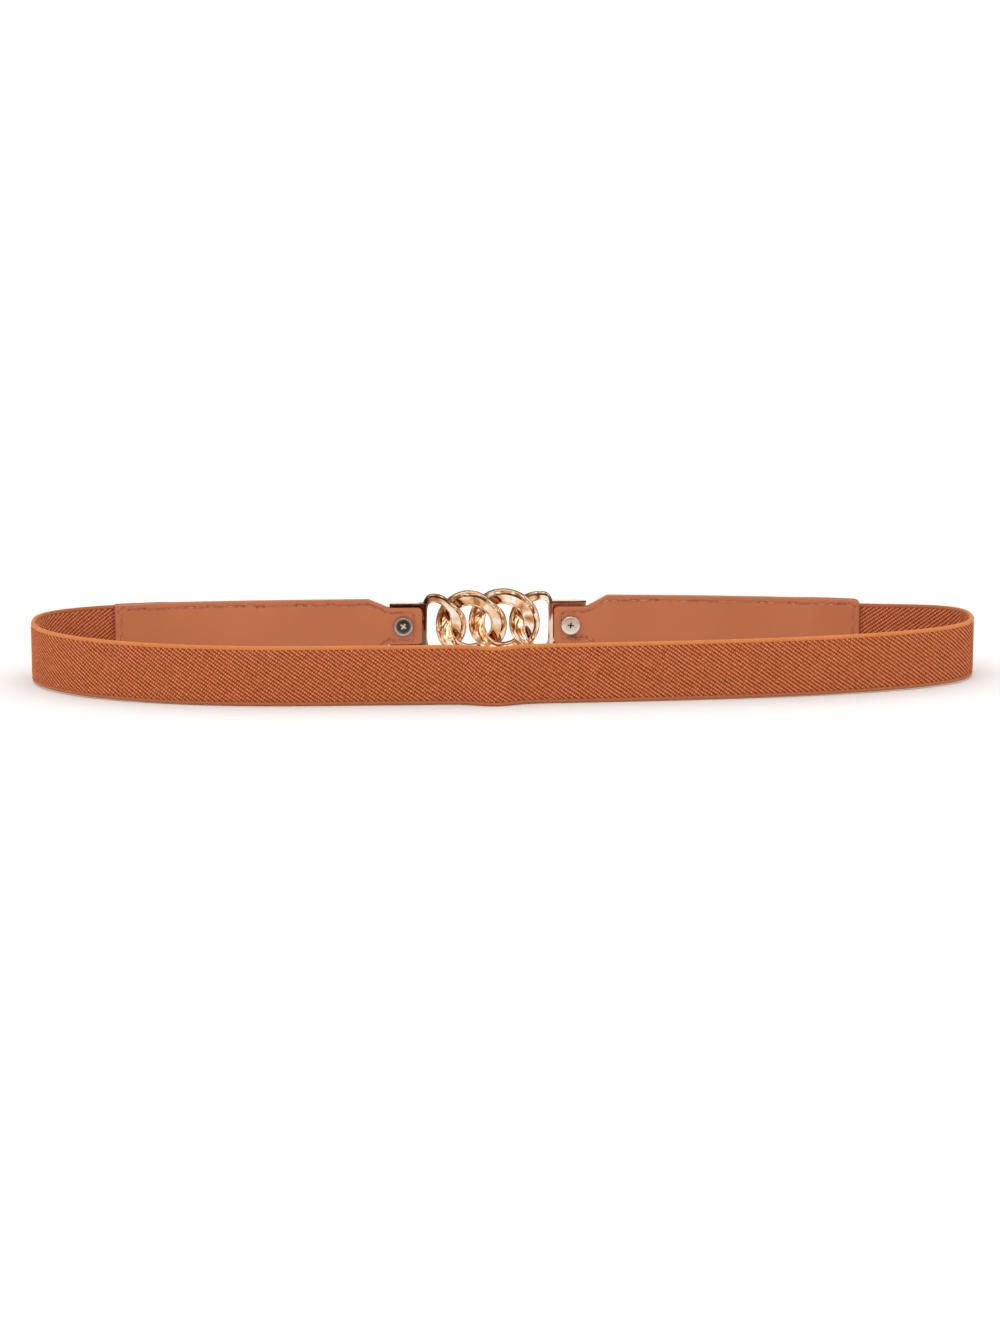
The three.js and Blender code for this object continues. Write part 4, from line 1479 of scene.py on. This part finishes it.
def gold_finish(side):
    finish = Finish(f"rose_gold_{side}", roughness=0.09, metallic=1.0)
    spread = {"Place": finish.place(), "Facing": finish.facing(), "Scale": PATCH_SCALE, "Turn": PATCH_TURN}
    patches = finish.group(painted_reflections, **spread)["Patches"]
    # Painted reflections: patches in four tones from brown to white.
    painted_reflection_tone = PAINTED_REFLECTION_START
    for low, high, lighter in PAINTED_REFLECTION_STEPS:
        painted_reflection_tone = finish.mix(finish.window(patches, low, high), painted_reflection_tone, lighter)
    outward, along, upward = masks(finish)
    wall_from = (CHANNEL_INNER - CHANNEL_WALL) * MM
    on_channel = finish.window(along, wall_from, wall_from + CHANNEL_BLEND * MM)
    plating = finish.mix(on_channel, painted_reflection_tone, CHANNEL_TONE)
    painted_dark_and_corner = painted_dark_places(finish, side, outward, on_channel, upward)
    if side == "left":
        painted_dark_and_corner = finish.math("MAXIMUM", painted_dark_and_corner, dull_corner(finish))
    # Painted dark reflections and painted shade, and the dark corner of the left half.
    finish.colour(finish.mix(painted_dark_and_corner, plating, PAINTED_DARK_AND_CORNER_TONE))
    finish.roughness(finish.window(patches, 0.3, 0.7, 0.12, 0.05))
    finish.bump(patches, POLISH_RELIEF, POLISH_STRENGTH)
    return finish.material


def add_castings():
    for side, turned in (("left", False), ("right", True)):
        hole_height = SCREW_RISE - HALF_LIFT[side]
        cast = casting(SCREW_OFFSET[side], -hole_height if turned else hole_height)
        mesh = cleaned(placed(cast, turned, HALF_LIFT[side]), f"cast_buckle_{side}")
        add_piece(mesh.name, mesh, gold_finish(side), f"buckle_{side}")


add_castings()

# %% [markdown]
# A short screw goes through each tongue into the plate. It is turned: a flat head with a soft round edge, and
# a shank. A driver's cross is cut into the head with booleans, since a bump couldn't give it real depth.

# %% The screws
HEAD_RADIUS = 3.25
HEAD_HEIGHT = 0.9
SEAT_GAP = 0.2
HEAD_PROFILE = [(0.62, 0), (0.8, 0.015), (0.88, 0.06), (0.94, 0.14), (0.98, 0.26), (1.0, 0.42)]
AXIS_RADIUS = 0.01
RECESS_LENGTH = {"left": 3.7, "right": 3.0}
RECESS_WIDTH = {"left": 0.95, "right": 0.75}
RECESS_DEPTH = 0.5
RECESS_REACH = 2.3
RECESS_TAPER = 0.55
RIM_FROM = 0.75
RIM_BLEND = 0.1
SCREW_TURN = {"left": 0.62, "right": 0.1}
SCREW_SIDES = 72
HEAD_SEAT = -(TONGUE_HALF_THICKNESS + SEAT_GAP)
HEAD_TOP = HEAD_SEAT - HEAD_HEIGHT


def recess_arm(side, turn):
    """One arm of the cross, turned to its angle, and narrower where it is cut into the head."""
    half_long, half_wide = RECESS_LENGTH[side] / 2, RECESS_WIDTH[side] / 2
    low = (-half_long, HEAD_TOP - 1, -half_wide)
    arm = block_mesh("arm", low, (half_long, HEAD_TOP + RECESS_DEPTH, half_wide))
    cos, sin = math.cos(turn), math.sin(turn)
    for vertex in arm.vertices:
        x, _, z = vertex.co
        taper = 1 if vertex.co.y < HEAD_TOP else RECESS_TAPER
        vertex.co.x = (x * cos + z * sin) * taper
        vertex.co.z = (z * cos - x * sin) * taper
    return arm


def screw_mesh(side):
    """A screw along Y, with its head at -Y and a cross cut into it."""
    foot = PLATE_OUTER - SEAT_GAP
    head = [(HEAD_RADIUS * share, HEAD_TOP + drop) for share, drop in HEAD_PROFILE]
    profile = [(AXIS_RADIUS, HEAD_TOP), *head, (HEAD_RADIUS, HEAD_SEAT), (SCREW_SHANK_RADIUS, HEAD_SEAT)]
    profile += [(SCREW_SHANK_RADIUS, foot), (AXIS_RADIUS, foot)]
    angle = (np.arange(SCREW_SIDES) / SCREW_SIDES * 2 * math.pi)[:, None]
    radius, y = np.array(profile).T
    rings = np.stack([radius * np.cos(angle), y + 0 * angle, radius * np.sin(angle)], axis=-1)
    body = mesh_of("screw", *skin(rings.swapaxes(0, 1)))
    for quarter_turn in (0, math.pi / 2):
        body = combine(body, recess_arm(side, SCREW_TURN[side] + quarter_turn), "DIFFERENCE")
    return body


def head_marks(points):
    """Three numbers at each point of a screw: how deep in the cross, how near the head's rim, and a 0."""
    radius = np.hypot(points[:, 0], points[:, 2])
    in_cross = (radius < RECESS_REACH) & (points[:, 1] < HEAD_TOP + 1.5 * RECESS_DEPTH)
    deep = np.clip((points[:, 1] - HEAD_TOP) / RECESS_DEPTH, 0, 1) * in_cross
    rim = np.clip((radius / HEAD_RADIUS - RIM_FROM) / RIM_BLEND, 0, 1)
    return np.stack([deep, rim, 0 * rim], axis=-1)


print("The left screw's cross is", RECESS_LENGTH["left"], "mm across")

# %% [markdown]
# Both screws are nickel-plated steel. The left one's dark grey head is a painted dark reflection, and its rim
# and cross are painted pale. The right one is bright, and painted shade darkens its cross. The marks at the
# mesh's points say where they are.

# %% The nickel
NICKEL_NAMES = {"left": "nickel_with_painted_dark_reflection", "right": "nickel_with_painted_shade_in_cross"}
# The left head's dark tones are a painted dark reflection; the right cross's tone is painted shade.
NICKEL_TONES = {
    "left": (tone(78, 74, 74), tone(56, 52, 54), tone(196, 192, 186), tone(236, 228, 214)),
    "right": (tone(236, 230, 220), tone(216, 208, 196), tone(240, 236, 228), tone(70, 52, 48)),
}


def nickel_finish(side):
    face, stained, rim, cross = NICKEL_TONES[side]
    finish = Finish(NICKEL_NAMES[side], roughness=0.25, metallic=1.0)
    head = finish.parts(finish.marks("head"))
    wear = finish.group(soft_patches, Place=finish.place(), Patch_Scale=420.0, Speck_Scale=2600.0)
    plain = finish.mix(finish.window(wear["Patches"], 0.4, 0.7), face, stained)
    rimmed = finish.mix(head["Y"], plain, rim)
    finish.colour(finish.mix(finish.window(head["X"], 0.2, 0.8), rimmed, cross))
    finish.roughness(finish.window(wear["Specks"], 0.3, 0.7, 0.22, 0.4))
    finish.bump(wear["Specks"], 0.02, 0.4)
    return finish.material


def add_screws():
    for side, way in (("left", -1), ("right", 1)):
        mesh = cleaned(screw_mesh(side), f"driven_screw_{side}")
        points = np.array([vertex.co for vertex in mesh.vertices])
        marks = head_marks(points)
        points = stand(points + [BUCKLE_X + way * SCREW_OFFSET[side], BACK_DEPTH, BUCKLE_MIDDLE + SCREW_RISE])
        mesh.vertices.foreach_set("co", points.reshape(-1))
        write_marks(mesh, "head", marks)
        print("Points in the cross:", int((marks[:, 0] > 0.5).sum()))
        add_piece(mesh.name, mesh, nickel_finish(side), f"screw_{side}")


add_screws()
